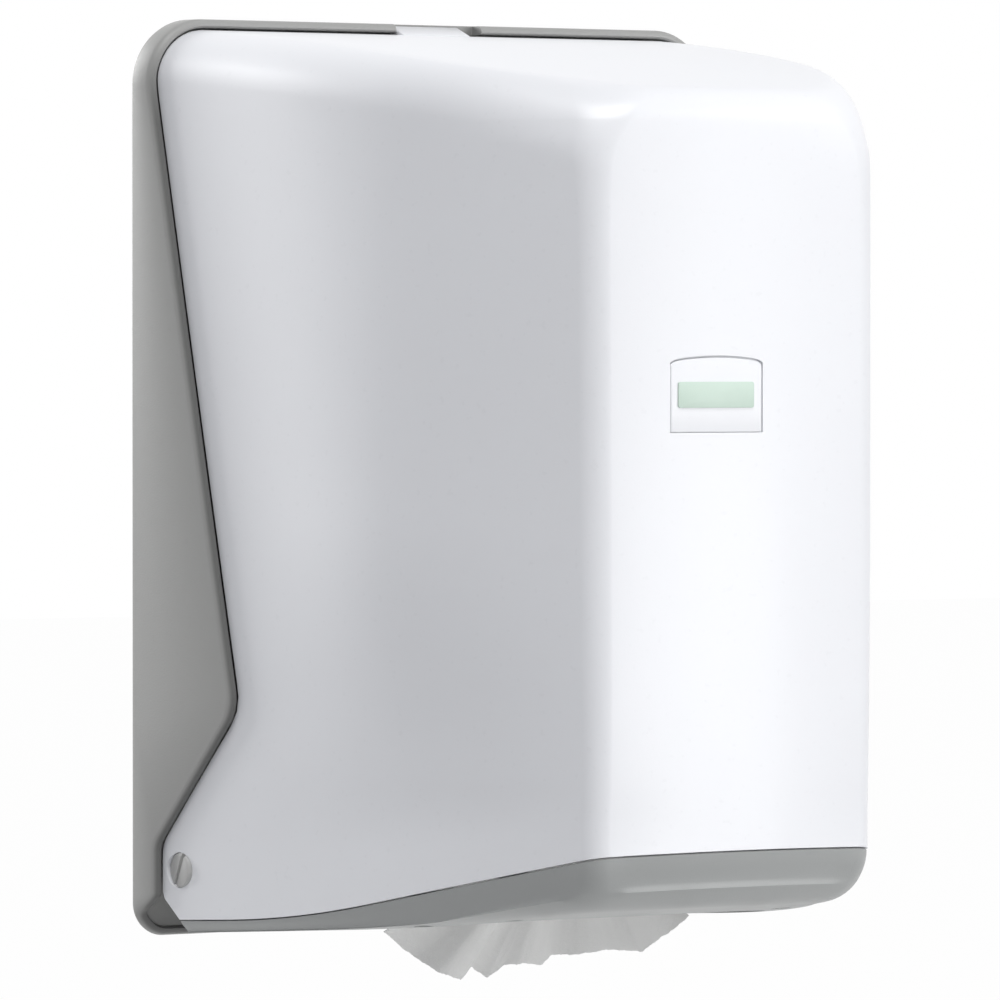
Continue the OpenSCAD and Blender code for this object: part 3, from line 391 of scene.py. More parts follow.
def hood_rows(inset=0.0):
    """The hood's skin as level rows from its foot up the front and back along the top."""
    levels = [COVER_LOW_H + (HOOD_LEVEL - COVER_LOW_H) * i / FOOT_ROWS for i in range(FOOT_ROWS)]
    levels += [HOOD_LEVEL + i * SIDE_STEP for i in range(SIDE_ROWS)]
    levels += [HOOD_LEVEL + SIDE_ROWS * SIDE_STEP + i * SHOULDER_STEP for i in range(SHOULDER_ROWS)]
    front, ahead = COVER_D - inset, COVER_D - 12
    top = fillet((front, 0), (front, SHOULDER_H - inset), (ahead, top_line(ahead) - inset),
                 SHOULDER_R - inset, 12)
    rows = []
    for h in levels:
        if h > SHOULDER_H - SHOULDER_R - 3:
            break
        plan = section(cover_rear(h), front, h, corner_runs(h), inset)
        share = (h - COVER_LOW_H) / (HOOD_LEVEL - COVER_LOW_H)
        row = []
        for x, d in plan:
            edge = cover_edge_h(d)
            row.append(at(x, d, h if h >= HOOD_LEVEL else edge + (HOOD_LEVEL - edge) * share))
        rows.append(row)
    last = top[-1][0]
    slope = [last + (TOP_EDGE_D - last) * i / TOP_ROWS for i in range(1, TOP_ROWS + 1)]
    for d, h in top + [(d, top_line(d) - inset) for d in slope]:
        rows.append([at(x, q, h) for x, q in section(cover_rear(h), d, h, corner_runs(h + inset), inset)])
    return rows


# Hood: an outer and an inner skin, bridged, with pin seats, badge recess and the tongue in the top edge

BADGE_X, BADGE_MIDDLE_H = -11.0, 195.5
BADGE_W, BADGE_H, BADGE_T, BADGE_ARCH = 38.0, 26.0, 1.5, 1.6
BADGE_SINK, BADGE_PLAY = 0.25, 0.4  # how deep it lies in the front, and the room round it in its recess
LABEL_W, LABEL_H, LABEL_T, LABEL_SIDE = 31.5, 9, 0.5, 3
BADGE_TURN = math.atan(2 * FRONT_CROWN * BADGE_X / (COVER_FRONT_W / 2) ** 2)
BADGE_D = COVER_D - FRONT_CROWN * (BADGE_X / (COVER_FRONT_W / 2)) ** 2


def badge_plate(name, grow, back, front):
    """A plate with an arched top, drawn flat, extruded and turned to lie along the crowned front."""
    w, low, high = BADGE_W / 2 + grow, -BADGE_H / 2 - grow, BADGE_H / 2 + grow - BADGE_ARCH
    plate = added(name, bpy.ops.mesh.primitive_grid_add, x_subdivisions=40, y_subdivisions=1, size=2)
    for corner in plate.data.vertices:
        u, v = corner.co.x, corner.co.y
        corner.co = (u * w * MM, 0, (low if v < 0 else high + BADGE_ARCH * (1 - u * u - 0.6 * u ** 16)) * MM)
    editing(plate, "FACE")
    bpy.ops.mesh.extrude_region_move(TRANSFORM_OT_translate={"value": (0, (back - front) * MM, 0)})
    bpy.ops.mesh.select_all(action="SELECT")
    bpy.ops.mesh.normals_make_consistent(inside=False)
    edited()
    return laid_on_front(plate, front)


def laid_on_front(piece, sink):
    """Sinks a piece drawn at the origin, turns it along the crowned front and puts it in its place."""
    for corner in piece.data.vertices:
        corner.co.y += sink * MM
    piece.rotation_euler = (0, 0, BADGE_TURN)
    piece.location = at(BADGE_X, BADGE_D, BADGE_MIDDLE_H)
    only(piece)
    bpy.ops.object.transform_apply(location=True, rotation=True, scale=True)
    return piece


def post(x, d, low, high, radius, sides=40):
    return rod("post", at(x, d, (low + high) / 2), UP, radius, high - low, sides)


def mark_painted_shade(piece, share):
    """Stores on the corners of a piece how much shade is painted there, by their width, depth and height."""
    painted_shade = piece.data.attributes.new("painted_shade", "FLOAT", "POINT")
    spots = [corner.co / MM for corner in piece.data.vertices]
    painted_shade.data.foreach_set("value", [share(p.x, -p.y, p.z + MOUNT_H) for p in spots])


def tongue_painted_shade(x, d, h):
    """Painted shade: 1 on the tongue, which lies in the shade of the notch, and 0 on the rest of the hood."""
    beside = 0.35
    return float(h > 326.3 and d < 14 and TONGUE_LEFT - beside < x < TONGUE_RIGHT + beside)


def tongue_piece():
    """The tongue that carries the slope of the hood's top on into the notch in the casing."""
    tongue = block("tongue", (TONGUE_LEFT, TONGUE_FRONT_D, TONGUE_LOW_H),
                   (TONGUE_RIGHT, TONGUE_REAR_D, TONGUE_TOP_H))
    editing(tongue, "EDGE", lambda a, b: max(a.y, b.y) < -0.012 and min(a.z, b.z) > 0.16)
    bpy.ops.transform.translate(value=(0, 0, -TONGUE_DROP * MM))
    edited()
    rounded_edges(tongue, 0.6, 3, 20)
    return tongue


def make_hood():
    hood = joined(sheet_of("hood", hood_rows()), sheet_of("inner_skin", hood_rows(COVER_WALL)))
    editing(hood, "EDGE")
    bpy.ops.mesh.region_to_loop()
    bpy.ops.mesh.bridge_edge_loops()
    edited()
    outward(hood)
    extra, holes = [tongue_piece()], []
    for side in (-1, 1):
        extra.append(rod("boss", at(side * PIN_BOSS_X, PIVOT_D, PIVOT_H), ACROSS, PIN_BOSS_R, PIN_BOSS_T))
        seat = rod("seat", at(side * cover_half(PIVOT_D), PIVOT_D, PIVOT_H), ACROSS, PIN_SEAT_R, PIN_SEAT_T)
        bore = rod("bore", at(side * PIN_BORE_X, PIVOT_D, PIVOT_H), ACROSS, PIN_BORE_R, PIN_BORE_T)
        cut(seat, bore, "UNION")
        holes.append(seat)
        extra.append(post(side * CATCH_X, CATCH_D, CATCH_POST_LOW_H, CATCH_POST_TOP_H, BOSS_R))
        holes.append(post(side * CATCH_X, CATCH_D, CATCH_PILOT_LOW_H, CATCH_PILOT_TOP_H, PILOT_R, 24))
        for x, d in TRAY_SPOTS:
            boss = post(side * x, d, TRAY_POST_H, BOSS_TOP_H, BOSS_R)
            rib_end = side * (cover_half(d) - COVER_WALL / 2)
            rib = block("rib", (side * x, d + RIB_HALF_T, TRAY_POST_H), (rib_end, d - RIB_HALF_T, BOSS_TOP_H))
            cut(boss, rib, "UNION")
            extra.append(boss)
            holes.append(post(side * x, d, BOSS_PILOT_LOW_H, BOSS_PILOT_TOP_H, PILOT_R, 24))
    cut(hood, joined(*extra), "UNION")
    recess = badge_plate("recess", BADGE_PLAY, BADGE_T + BADGE_SINK + 0.1, -3)
    for corner in recess.data.vertices:
        corner.co += Vector((0.25 * MM, 0, 0.25 * MM))  # the gap shows more on two sides of the badge
    cut(hood, joined(recess, *holes))
    # Painted shade on the tongue, for the shade of the notch
    mark_painted_shade(hood, tongue_painted_shade)
    smooth(hood, 32)
    return hood


# Rear casing: rings from the wall forward to the rounded rim and back to the plate

def casing_outline(inset):
    """The casing's outline seen from the front, as widths and heights, from the middle of its foot round."""
    corners = [(CASING_W / 2 - CASING_FOOT_R, CASING_FOOT_R, CASING_FOOT_R, -90),
               (CASING_W / 2 - CASING_TOP_R, CASING_H - CASING_TOP_R, CASING_TOP_R, 0)]
    arcs, steps, runs = [], 18, 20
    for x, h, r, start in corners:
        turns = [math.radians(start + 90 * i / steps) for i in range(steps + 1)]
        arcs.append([(x + (r - inset) * math.cos(a), h + (r - inset) * math.sin(a)) for a in turns])
    levels = sorted({round(h, 4) for h, d in RIM if CASING_FOOT_R + .2 < h < CASING_H - CASING_TOP_R - .2}
                    | {float(h) for h in range(100, 300, 8)})
    foot = [(corners[0][0] * i / runs, inset) for i in range(runs)]
    side = [(CASING_W / 2 - inset, h) for h in levels]
    top = [(corners[1][0] * (1 - i / runs), CASING_H - inset) for i in range(1, runs)]
    half = foot + arcs[0] + side + arcs[1] + top
    return half + [(-x, h) for x, h in half[:0:-1]]


def casing_ring(inset, depth, rim=False):
    """The outline at a depth from the wall, or from the rim's line."""
    out = []
    for (x, h), (_, outer_h) in zip(casing_outline(inset), casing_outline(0)):
        d = rim_depth(outer_h) + depth if rim else depth
        out.append(at(x * taper(d), d, h))
    return out


def rim_painted_shade(x, d, h):
    """Painted shade for the gap round the hood: 1 on the rim's front, less towards the top, 0 on the casing's
    side and plate.
    """
    x = abs(x) / taper(d)
    inset = min(CASING_W / 2 - x, CASING_H - h, h)
    for r, high in ((CASING_TOP_R, h - CASING_H), (CASING_FOOT_R, -h)):
        if x > CASING_W / 2 - r and high + r > 0:
            inset = r - math.hypot(x - CASING_W / 2 + r, high + r)
    painted_shade = min(1, max(0, (d - rim_depth(h) - 1.1) / 1.0))
    return painted_shade * (1 - eased(h, 292, 320)) if inset < CASING_WALL + 0.3 else 0.0


def make_casing():
    rings = [casing_ring(1.2, 0), casing_ring(0.35, 0.35), casing_ring(0, 1.2), casing_ring(0, 0, True)]
    for i in range(1, 9):
        a = math.radians(90 * i / 8)
        rings.append(casing_ring(RIM_ROUND_W * (1 - math.cos(a)), RIM_ROUND * math.sin(a), True))
    rings += [casing_ring(2.7, RIM_ROUND - 0.15, True), casing_ring(3.1, RIM_ROUND - 0.7, True),
              casing_ring(CASING_WALL, RIM_ROUND - 1.8, True), casing_ring(CASING_WALL, PLATE_T)]
    casing = tube_of("casing", rings, True)
    extra, holes = [], [block("notch", NOTCH_LOW, NOTCH_HIGH)]
    for x in (-WALL_HOLE_X, WALL_HOLE_X):
        for h in WALL_HOLE_HEIGHTS:
            pad = rod("pad", at(x, 3.5, h), DEEP, 9, 2.2)
            rounded_edges(pad, 0.5, 2)
            extra.append(pad)
            holes.append(rod("hole", at(x, 2, h), DEEP, WALL_HOLE_R, 12, 40))
    for x in (-GUIDE_POST_X, GUIDE_POST_X):
        extra.append(rod("guide_post", at(x, 5.5, GUIDE_POST_H), DEEP, GUIDE_POST_R, 6.2, 40))
        holes.append(rod("pilot", at(x, 6.5, GUIDE_POST_H), DEEP, PILOT_R, 7, 24))
    for side in (-1, 1):
        pivot = at(side * EAR_X, PIVOT_D, PIVOT_H)
        ear = block("ear", (side * EAR_INNER_X, PLATE_T / 2, PIVOT_H - EAR_R),
                    (side * EAR_OUTER_X, PIVOT_D, PIVOT_H + EAR_R))
        cut(ear, rod("ear_end", pivot, ACROSS, EAR_R, 5), "UNION")
        extra.append(ear)
        holes.append(rod("ear_bore", pivot, ACROSS, EAR_BORE_R, 12, 40))
    cut(casing, joined(*extra), "UNION")
    cut(casing, joined(*holes))
    # Painted shade along the rim's front, standing in for the shadow in the gap round the hood
    mark_painted_shade(casing, rim_painted_shade)
    smooth(casing, 30)
    return casing


# Base tray: the dish under the hood, with its leaning band, crease and rounded underside

def tray_top(d):
    return cover_edge_h(d) - TRAY_SEAM


def tray_waist(d):
    """Height of the crease under the band."""
    return tray_top(d) - min(TRAY_BAND_H, 0.9 * (tray_top(d) - tray_low(d)))


def corner_inset(height):
    """Inset of the tray's front corners at a height: a plain quarter round from rim to foot."""
    top, low = tray_top(FRONT_CORNER_D), tray_low(FRONT_CORNER_D)
    drop = min(1, max(0, (top - height(FRONT_CORNER_D)) / (top - low)))
    return TRAY_RIM + (TRAY_LEAN + TRAY_ROUND - TRAY_RIM) * (1 - math.sqrt(1 - drop * drop))


def tray_row(inset, rear, height, across=1.0, corner=None):
    """A line round the tray, which can have another inset at its front corners."""
    insets = inset, inset if corner is None else corner
    lines = [section(TRAY_REAR_D + rear, COVER_D - v, 0, corner_runs(0), v, (30, 12, 14)) for v in insets]
    row = []
    for (x, d), (corner_x, corner_d) in zip(*lines):
        share = eased(abs(x), 42, 57) * eased(d, FRONT_CORNER_D - 20, FRONT_CORNER_D - 6)
        deep = d + (corner_d - d) * share
        row.append(at((x + (corner_x - x) * share) * across, deep, height(deep)))
    return row


def outer_row(inset, rear, height):
    return tray_row(inset, rear, height, corner=corner_inset(height))


def below_waist(share):
    """A height between the underside, at 0, and the crease, at 1."""
    return lambda d: tray_waist(d) * share + tray_low(d) * (1 - share)


def above_waist(share):
    """A height between the crease, at 0, and the band's top, at 1."""
    return lambda d: tray_waist(d) * (1 - share) + tray_top(d) * share


def tray_rows():
    """From the middle of the underside out, up the outside, over the rim and down to the floor's middle."""
    floor = lambda d: tray_low(d) + TRAY_FLOOR_T
    inner = lambda d: max(tray_waist(d), tray_low(d) + 3.0)
    foot, inner_foot = TRAY_LEAN + TRAY_ROUND, TRAY_LEAN + TRAY_ROUND * 0.6 + TRAY_WALL
    foot_rear, floor_rear, closing = 2, 4.4, 4
    # Share of the round, rear inset, and share of the height up to the crease
    underside = [(1, foot_rear, 0), (0.8, 1.5, 0.04), (0.6, 1, 0.12), (0.4, 0.8, 0.27), (0.25, 0.5, 0.45),
                 (0.1, 0.4, 0.62)]
    # Share of the band's height, and inset
    band = [(0.1, 3.25), (0.25, 2.8), (0.42, 2.1), (0.6, 1.35), (0.8, 0.7), (0.97, TRAY_RIM)]
    rows = [tray_row(foot, foot_rear + closing * (1 - k), tray_low, k) for k in (0, 0.5)]
    rows += [outer_row(TRAY_LEAN + TRAY_ROUND * k, rear, below_waist(share)) for k, rear, share in underside]
    rows += [outer_row(TRAY_LEAN - TRAY_BEAD, 0.3, below_waist(0.8)),
             outer_row(TRAY_LEAN - TRAY_BEAD * 0.6, 0.25, below_waist(0.92)),
             outer_row(TRAY_LEAN, 0.2, tray_waist)]
    rows += [outer_row(inset, 0.1, above_waist(share)) for share, inset in band]
    rows += [tray_row(0.6, 0.2, tray_top), tray_row(2.7, 2.4, tray_top),
             tray_row(TRAY_LEAN + TRAY_WALL, 2.7, inner), tray_row(inner_foot, floor_rear, floor)]
    rows += [tray_row(inner_foot, floor_rear + closing * (1 - k), floor, k) for k in (0.5, 0)]
    return rows


def make_tray():
    tray = tube_of("tray", tray_rows(), False)
    editing(tray, "FACE")
    bpy.ops.mesh.quads_convert_to_tris()
    edited()
    half = cover_half(AXIS_D) - OPENING_SIDE
    opening = added("opening", bpy.ops.mesh.primitive_cube_add, size=1, location=at(0, OPENING_D, 20),
                    scale=(2 * half * MM, OPENING_RUN * MM, 80 * MM))
    editing(opening, "EDGE", lambda a, b: abs(a.z - b.z) > 1e-4)
    bpy.ops.mesh.bevel(offset=OPENING_R * MM, segments=14)
    edited()
    extra, holes = [], [opening]
    posts = [(x, d, SHELF_POST_H) for x, d in SHELF_SPOTS] + [(x, d, TRAY_POST_H) for x, d in TRAY_SPOTS]
    for x, d, top in posts:
        for side in (-1, 1):
            extra.append(post(side * x, d, tray_low(d) + 1.5, top, POST_R))
            well = post(side * x, d, -6, top - POST_CAP, WELL_R, 32)
            cut(well, post(side * x, d, top - 4, top + 5, PILOT_R, 24), "UNION")
            holes.append(well)
    cut(tray, joined(*extra), "UNION")
    cut(tray, joined(*holes))
    smooth(tray, 34)
    return tray


# Hinge pins: turned heads with a slot across them, shank and grooved journal

def make_pin(side):
    """A line of radii and places along the axis, spun round it, with the slot cut last."""
    face = cover_half(PIVOT_D) + 0.3
    spots = [(0.0, face), (5.5, face), (6.1, face - 0.25), (6.3, face - 0.9), (6.3, face - 3),
             (4.0, face - 3), (4.0, face - 6), (3.0, face - 6), (3.0, face - 11.6), (2.2, face - 11.6),
             (2.2, face - 13.2), (3.0, face - 13.2), (2.6, face - 14.8), (0.0, face - 14.8)]
    name = "pin_left" if side < 0 else "pin_right"
    pin = added(name, bpy.ops.mesh.primitive_grid_add,
                x_subdivisions=len(spots) - 1, y_subdivisions=1, size=1)
    for i, corner in enumerate(pin.data.vertices):
        r, x = spots[i % len(spots)]
        corner.co = (side * x * MM, -PIVOT_D * MM, (PIVOT_H - MOUNT_H + r) * MM)
    editing(pin, "EDGE")
    bpy.ops.mesh.remove_doubles(threshold=1e-7)
    bpy.ops.mesh.select_all(action="SELECT")
    bpy.ops.mesh.spin(steps=56, angle=2 * math.pi, center=at(0, PIVOT_D, PIVOT_H), axis=ACROSS)
    edited()
    outward(pin)
    slot = added("slot", bpy.ops.mesh.primitive_cube_add, size=1, scale=(2.4 * MM, 1.8 * MM, 14 * MM),
                 location=at(side * face, PIVOT_D, PIVOT_H), rotation=(math.radians(25), 0, 0))
    cut(pin, slot)
    rounded_edges(pin, 0.18, 2, 50)
    smooth(pin, 32)
    return pin


# Paper: the tail that hangs from the nozzle, and the roll above it

# Height of the torn edge by the share of the tail's width
TAIL_EDGE = [(0, 3), (0.05, -1.6), (0.17, -12), (0.25, -15.3), (0.29, -10.6), (0.34, -14.9), (0.39, -10.4),
             (0.44, -9.5), (0.52, -10.7), (0.55, -6.9), (0.61, -7.3), (0.73, -5.5), (0.85, -6.9),
             (0.9, -2.5), (1, 6)]


def tail_folds(u, v, fan, ripple):
    """How far the tail stands off its plane: four pleats, loose ripples and a crinkle near the nozzle."""
    fold = 4 * (0.55 - 0.12 * fan) * math.sin(2 * math.pi * 4 * u)
    fold += fan * sum(k * math.sin(f * 2 * math.pi * u * 0.5 + p + 2 * v) for f, p, k in ripple)
    return fold + 0.12 * fan * math.sin(150 * u + 4 * v) * (1 - v) ** 0.5


def make_tail():
    """A gathered strip that fans out under the nozzle to its torn edge."""
    wide, tall, turn = 220, 70, math.radians(14)
    dice = np.random.default_rng(7)
    fray = np.convolve(dice.normal(0, 1, wide + 9), np.ones(4) / 4, "same")[4:wide + 5]
    ripple = [(dice.uniform(6, 22), dice.uniform(0, 6.28), dice.uniform(0.05, 0.22)) for _ in range(9)]
    rows = []
    for j in range(tall + 1):
        v = j / tall
        row = []
        for i in range(wide + 1):
            u = i / wide
            low = along(TAIL_EDGE, u) + 0.35 * fray[i] * v ** 6
            h = TAIL_TOP_H + (low - TAIL_TOP_H) * v
            fan = max(0.0, (TAIL_FAN_H - h) / (TAIL_FAN_H - low)) ** 0.9
            run = (u - 0.5) * TAIL_GATHERED_W * (1 - fan) + (TAIL_LEFT + TAIL_W * u) * fan
            fold = tail_folds(u, v, fan, ripple)
            d = AXIS_D - 14 * fan
            row.append(at(run * math.cos(turn) + fold * math.sin(turn),
                          d + run * math.sin(turn) * fan - fold * math.cos(turn), h))
        rows.append(row)
    tail = sheet_of("paper_tail_sheet", rows)
    uv = tail.data.uv_layers[0]
    uv.name = "paper"
    for loop in tail.data.loops:
        i, j = loop.vertex_index % (wide + 1), loop.vertex_index // (wide + 1)
        uv.data[loop.index].uv = (i / wide, j / tall)
    finished(tail, "SOLIDIFY", thickness=TAIL_T * MM, offset=0)
    smooth(tail, 80)
    return tail


def make_roll():
    """A wound roll: its cut profile spun round the axis, with soft edges and a slightly hollow end."""
    top, low, out, bore = SHELF_H + ROLL_H, SHELF_H, ROLL_R - 0.15, ROLL_BORE_R + 0.2
    line = [(bore, low + 0.8), (bore + 1.2, low + 0.05)]
    line += [(bore + 6 + i * 7.2, low + 0.05) for i in range(7)]
    line += [(out - 1.6, low + 0.1), (out - 0.4, low + 0.7), (out, low + 2.0)]
    line += [(out, low + 2 + (ROLL_H - 4) * i / 12) for i in range(1, 12)]
    line += [(out, top - 2), (out - 0.5, top - 0.6), (out - 1.8, top - 0.1)]
    line += [(out - 6 - i * 5.2, top - 0.3 - 0.5 * math.sin(i * 0.35)) for i in range(9)]
    line += [(bore + 1.0, top - 1.2), (bore, top - 2.5)]
    line += [(bore + 0.3 * math.sin(i * 1.3), top - 2.5 - (ROLL_H - 3.3) * i / 14) for i in range(1, 14)]
    rings, around = [], 120
    for k in range(around):
        a = 2 * math.pi * k / around
        uneven = 0.12 * math.sin(3 * a) + 0.08 * math.sin(7 * a + 1)
        ring = []
        for r, h in line + line[:1]:
            reach = r + uneven * (r / ROLL_R) - 0.2
            ring.append(at(reach * math.cos(a), AXIS_D + reach * math.sin(a), h))
        rings.append(ring)
    roll = sheet_of("paper_roll_wound", rings + rings[:1])
    outward(roll)
    smooth(roll, 60)
    return roll


# Latch spring: its coil, at one length; the real coil shortens as the slider is pressed

def make_spring():
    """A round wire swept up the coil, inside the box of the solid that it stands for."""
    low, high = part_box("latch_spring")
    middle, wire = (low + high) / 2, SPRING_WIRE / 2 * MM
    reach, rise = (high.x - low.x) / 2 - wire, high.z - low.z - 2 * wire
    steps, sides = 24, 10
    rings = []
    for k in range(steps * SPRING_TURNS + 1):
        a = 2 * math.pi * k / steps
        out = Vector((math.cos(a), math.sin(a), 0))
        spot = Vector((middle.x, middle.y, low.z + wire + rise * k / (steps * SPRING_TURNS))) + out * reach
        turns = [2 * math.pi * i / sides for i in range(sides)]
        rings.append([spot + wire * (out * math.cos(b) + Vector((0, 0, math.sin(b)))) for b in turns])
    spring = tube_of("latch_spring_coil", rings, True)
    smooth(spring, 50)
    return spring


# Badge: the plain holder and its bare label plate

def make_badge():
    holder = badge_plate("badge_panel", 0, BADGE_T + BADGE_SINK, BADGE_SINK)
    rounded_edges(holder, 0.35, 3, 45)
    smooth(holder, 40)
    label_x = -BADGE_W / 2 + LABEL_W / 2 + LABEL_SIDE
    label = added("badge_plain_label", bpy.ops.mesh.primitive_cube_add, size=1,
                  location=(label_x * MM, -LABEL_T / 2 * MM, 0),
                  scale=(LABEL_W * MM, LABEL_T * MM, LABEL_H * MM))
    laid_on_front(label, BADGE_SINK)
    short = 1.0 * MM
    editing(label, "EDGE", lambda a, b: abs((a - b).x) < short and abs((a - b).z) < short)
    bpy.ops.mesh.bevel(offset=0.8 * MM, segments=4)
    edited()
    rounded_edges(label, 0.12, 2, 50)
    smooth(label, 40)
    return holder, label


# Finishes: sockets as values, so that sums and products of them add the nodes

class Value:
    """A socket of a finish. An operator on it adds a Math node."""

    def __init__(self, finish, socket):
        self.finish, self.socket = finish, socket

    def maths(self, operation, first, second):
        return self.finish.node("ShaderNodeMath", {"operation": operation}, [first, second])

    def __add__(self, other):
        return self.maths("ADD", self, other)

    def __radd__(self, other):
        return self.maths("ADD", other, self)

    def __sub__(self, other):
        return self.maths("SUBTRACT", self, other)

    def __rsub__(self, other):
        return self.maths("SUBTRACT", other, self)

    def __mul__(self, other):
        return self.maths("MULTIPLY", self, other)

    def __rmul__(self, other):
        return self.maths("MULTIPLY", other, self)

    def __pow__(self, other):
        return self.maths("POWER", self, other)


class Finish:
    """The nodes of a material or of the world, and a method for each kind that the looks need."""

    def __init__(self, holder, end):
        holder.use_nodes = True
        self.holder, self.tree = holder, holder.node_tree
        self.tree.nodes.clear()
        self.end = self.tree.nodes.new(end)

    def node(self, kind, settings=None, inputs=(), out=0):
        made = self.tree.nodes.new(kind)
        for key, value in (settings or {}).items():
            setattr(made, key, value)
        pairs = inputs.items() if isinstance(inputs, dict) else enumerate(inputs)
        for key, value in pairs:
            if isinstance(value, Value):
                self.tree.links.new(value.socket, made.inputs[key])
            else:
                made.inputs[key].default_value = value
        return Value(self, made.outputs[out])

    def place(self):
        return self.node("ShaderNodeTexCoord", out="Object")

    def paper_uv(self):
        return self.node("ShaderNodeUVMap", {"uv_map": "paper"})

    def stretched(self, place, scale):
        return self.node("ShaderNodeMapping", {"vector_type": "POINT"}, {"Vector": place, "Scale": scale})

    def noise(self, place, scale, detail=3.0, rough=0.5):
        return self.node("ShaderNodeTexNoise", None,
                         {"Vector": place, "Scale": scale, "Detail": detail, "Roughness": rough})

    def spread(self, value, low, high):
        return self.node("ShaderNodeMapRange", {"interpolation_type": "SMOOTHSTEP"},
                         {"Value": value, "From Min": low, "From Max": high})

    def mixed(self, first, second, share):
        return self.node("ShaderNodeMix", {"data_type": "RGBA"}, {0: share, 6: first, 7: second}, out=2)

    def axis(self, place, name):
        return self.node("ShaderNodeSeparateXYZ", None, [place], out=name)

    def bump(self, height, strength, distance):
        sockets = {"Height": height, "Strength": strength, "Distance": distance}
        return self.node("ShaderNodeBump", None, sockets)

    def seen(self):
        """1 for what the eye, a shine or a clear piece shows of the backdrop, 0 for its light."""
        kinds = "Camera", "Glossy", "Transmission"
        camera, glossy, clear = [self.node("ShaderNodeLightPath", out=f"Is {kind} Ray") for kind in kinds]
        return camera + glossy + clear

    def ended(self, shader):
        self.tree.links.new(shader.socket, self.end.inputs["Surface"])
        return self.holder

    def surface(self, **sockets):
        named = {key.replace("_", " ").title().replace("Ior", "IOR"): value for key, value in sockets.items()}
        return self.ended(self.node("ShaderNodeBsdfPrincipled", None, named))


def material_nodes(name):
    return Finish(bpy.data.materials.new(name), "ShaderNodeOutputMaterial")


def linear(r, g, b):
    """A colour as it shows on a screen, 0 to 255, in Blender's linear values."""
    return tuple(((v / 255 + 0.055) / 1.055) ** 2.4 if v > 10 else v / 255 / 12.92 for v in (r, g, b)) + (1,)


def shade(colour, share):
    return tuple(v * share for v in colour[:3]) + (1,)


def moulded(name, colour, rough, grain, grain_scale, coat=0.0, worn=0.07, painted_shade=1.0):
    """Injection-moulded plastic: faint drift of colour, fine tool grain, handled and rubbed patches.

    The last argument is the share of the colour that is left where shade is painted, on the corners marked
    for it."""
    f = material_nodes(name)
    place = f.place()
    drift = f.noise(place, 9, 2)
    rub = f.spread(f.noise(f.stretched(place, (1, 1, 0.35)), 38, 4, 0.6), 0.52, 0.74)
    fine = f.noise(place, grain_scale, 2, 0.6)
    speck = f.spread(f.noise(place, 420, 1), 0.66, 0.76)
    base = f.mixed(shade(colour, 0.972), shade(colour, 1.02), drift)
    base = f.mixed(base, shade(colour, 0.93), speck * 0.35)
    # Painted shade: the colour is darkened on the marked corners
    if painted_shade < 1:
        marked = f.node("ShaderNodeAttribute", {"attribute_name": "painted_shade"}, out="Fac")
        base = f.mixed(base, shade(colour, painted_shade), marked)
    roughness = rough + (drift - 0.5) * 0.06 + rub * worn
    normal = f.bump(fine, grain, 0.0004)
    return f.surface(base_color=base, roughness=roughness, normal=normal, ior=1.5, coat_weight=coat,
                     coat_roughness=0.12)


def plated(name, colour, rough):
    """Bright zinc on steel, with fine drawing lines and dull clouds."""
    f = material_nodes(name)
    place = f.place()
    lines = f.noise(f.stretched(place, (1, 1, 14)), 160, 3)
    cloud = f.noise(place, 60, 3)
    base = f.mixed(shade(colour, 0.82), colour, cloud)
    return f.surface(base_color=base, metallic=0.92, roughness=rough + (lines - 0.5) * 0.2 + cloud * 0.08,
                     normal=f.bump(lines, 0.12, 0.0003))


def tissue(name, colour):
    """Soft creped paper: fine crossways crepe and cloudy fibre."""
    f = material_nodes(name)
    uv = f.paper_uv()
    crepe = f.noise(f.stretched(uv, (26, 210, 1)), 1.0, 3, 0.6)
    fibre = f.noise(f.stretched(uv, (70, 40, 1)), 1.6, 4, 0.65)
    base = f.mixed(shade(colour, 0.96), shade(colour, 1.02), fibre)
    height = crepe * 0.5 + fibre * 0.35
    return f.surface(base_color=base, roughness=0.88 + (fibre - 0.5) * 0.1,
                     normal=f.bump(height, 0.55, 0.0006),
                     sheen_weight=0.15, sheen_roughness=0.5, specular_ior_level=0.2)


def wound_tissue(name, colour):
    """The roll: winding lines on its ends and a crepe round its outside, by distance from the axis."""
    f = material_nodes(name)
    place = f.place()
    x, y = f.axis(place, "X"), f.axis(place, "Y") + AXIS_D * MM
    radius = (x * x + y * y) ** 0.5
    wobble = f.noise(place, 30, 2)
    rings = f.node("ShaderNodeMath", {"operation": "SINE"}, [(radius + wobble * 0.0012) * 5200])
    crepe = f.noise(f.stretched(place, (1, 1, 9)), 220, 3)
    cloud = f.noise(place, 55, 4)
    base = f.mixed(shade(colour, 0.93), colour, cloud)
    base = f.mixed(base, shade(colour, 0.88), f.spread(rings, 0.2, 1.0) * 0.25)
    height = rings * 0.3 + crepe * 0.5
    return f.surface(base_color=base, roughness=0.9 + (cloud - 0.5) * 0.08,
                     normal=f.bump(height, 0.4, 0.0006), specular_ior_level=0.2)


def glossy_label(name, colour):
    """A bare film label: a soft gloss over a pale, slightly cloudy tint."""
    f = material_nodes(name)
    place = f.place()
    cloud = f.noise(place, 120, 3)
    fine = f.noise(place, 1400, 2)
    base = f.mixed(shade(colour, 0.95), shade(colour, 1.03), cloud)
    return f.surface(base_color=base, roughness=0.34 + cloud * 0.06, normal=f.bump(fine, 0.04, 0.0001))


# Build

hood = make_hood()
casing = make_casing()
tray = make_tray()
pins = [make_pin(-1), make_pin(1)]
tail = make_tail()
roll = make_roll()
spring = make_spring()
badge, label = make_badge()
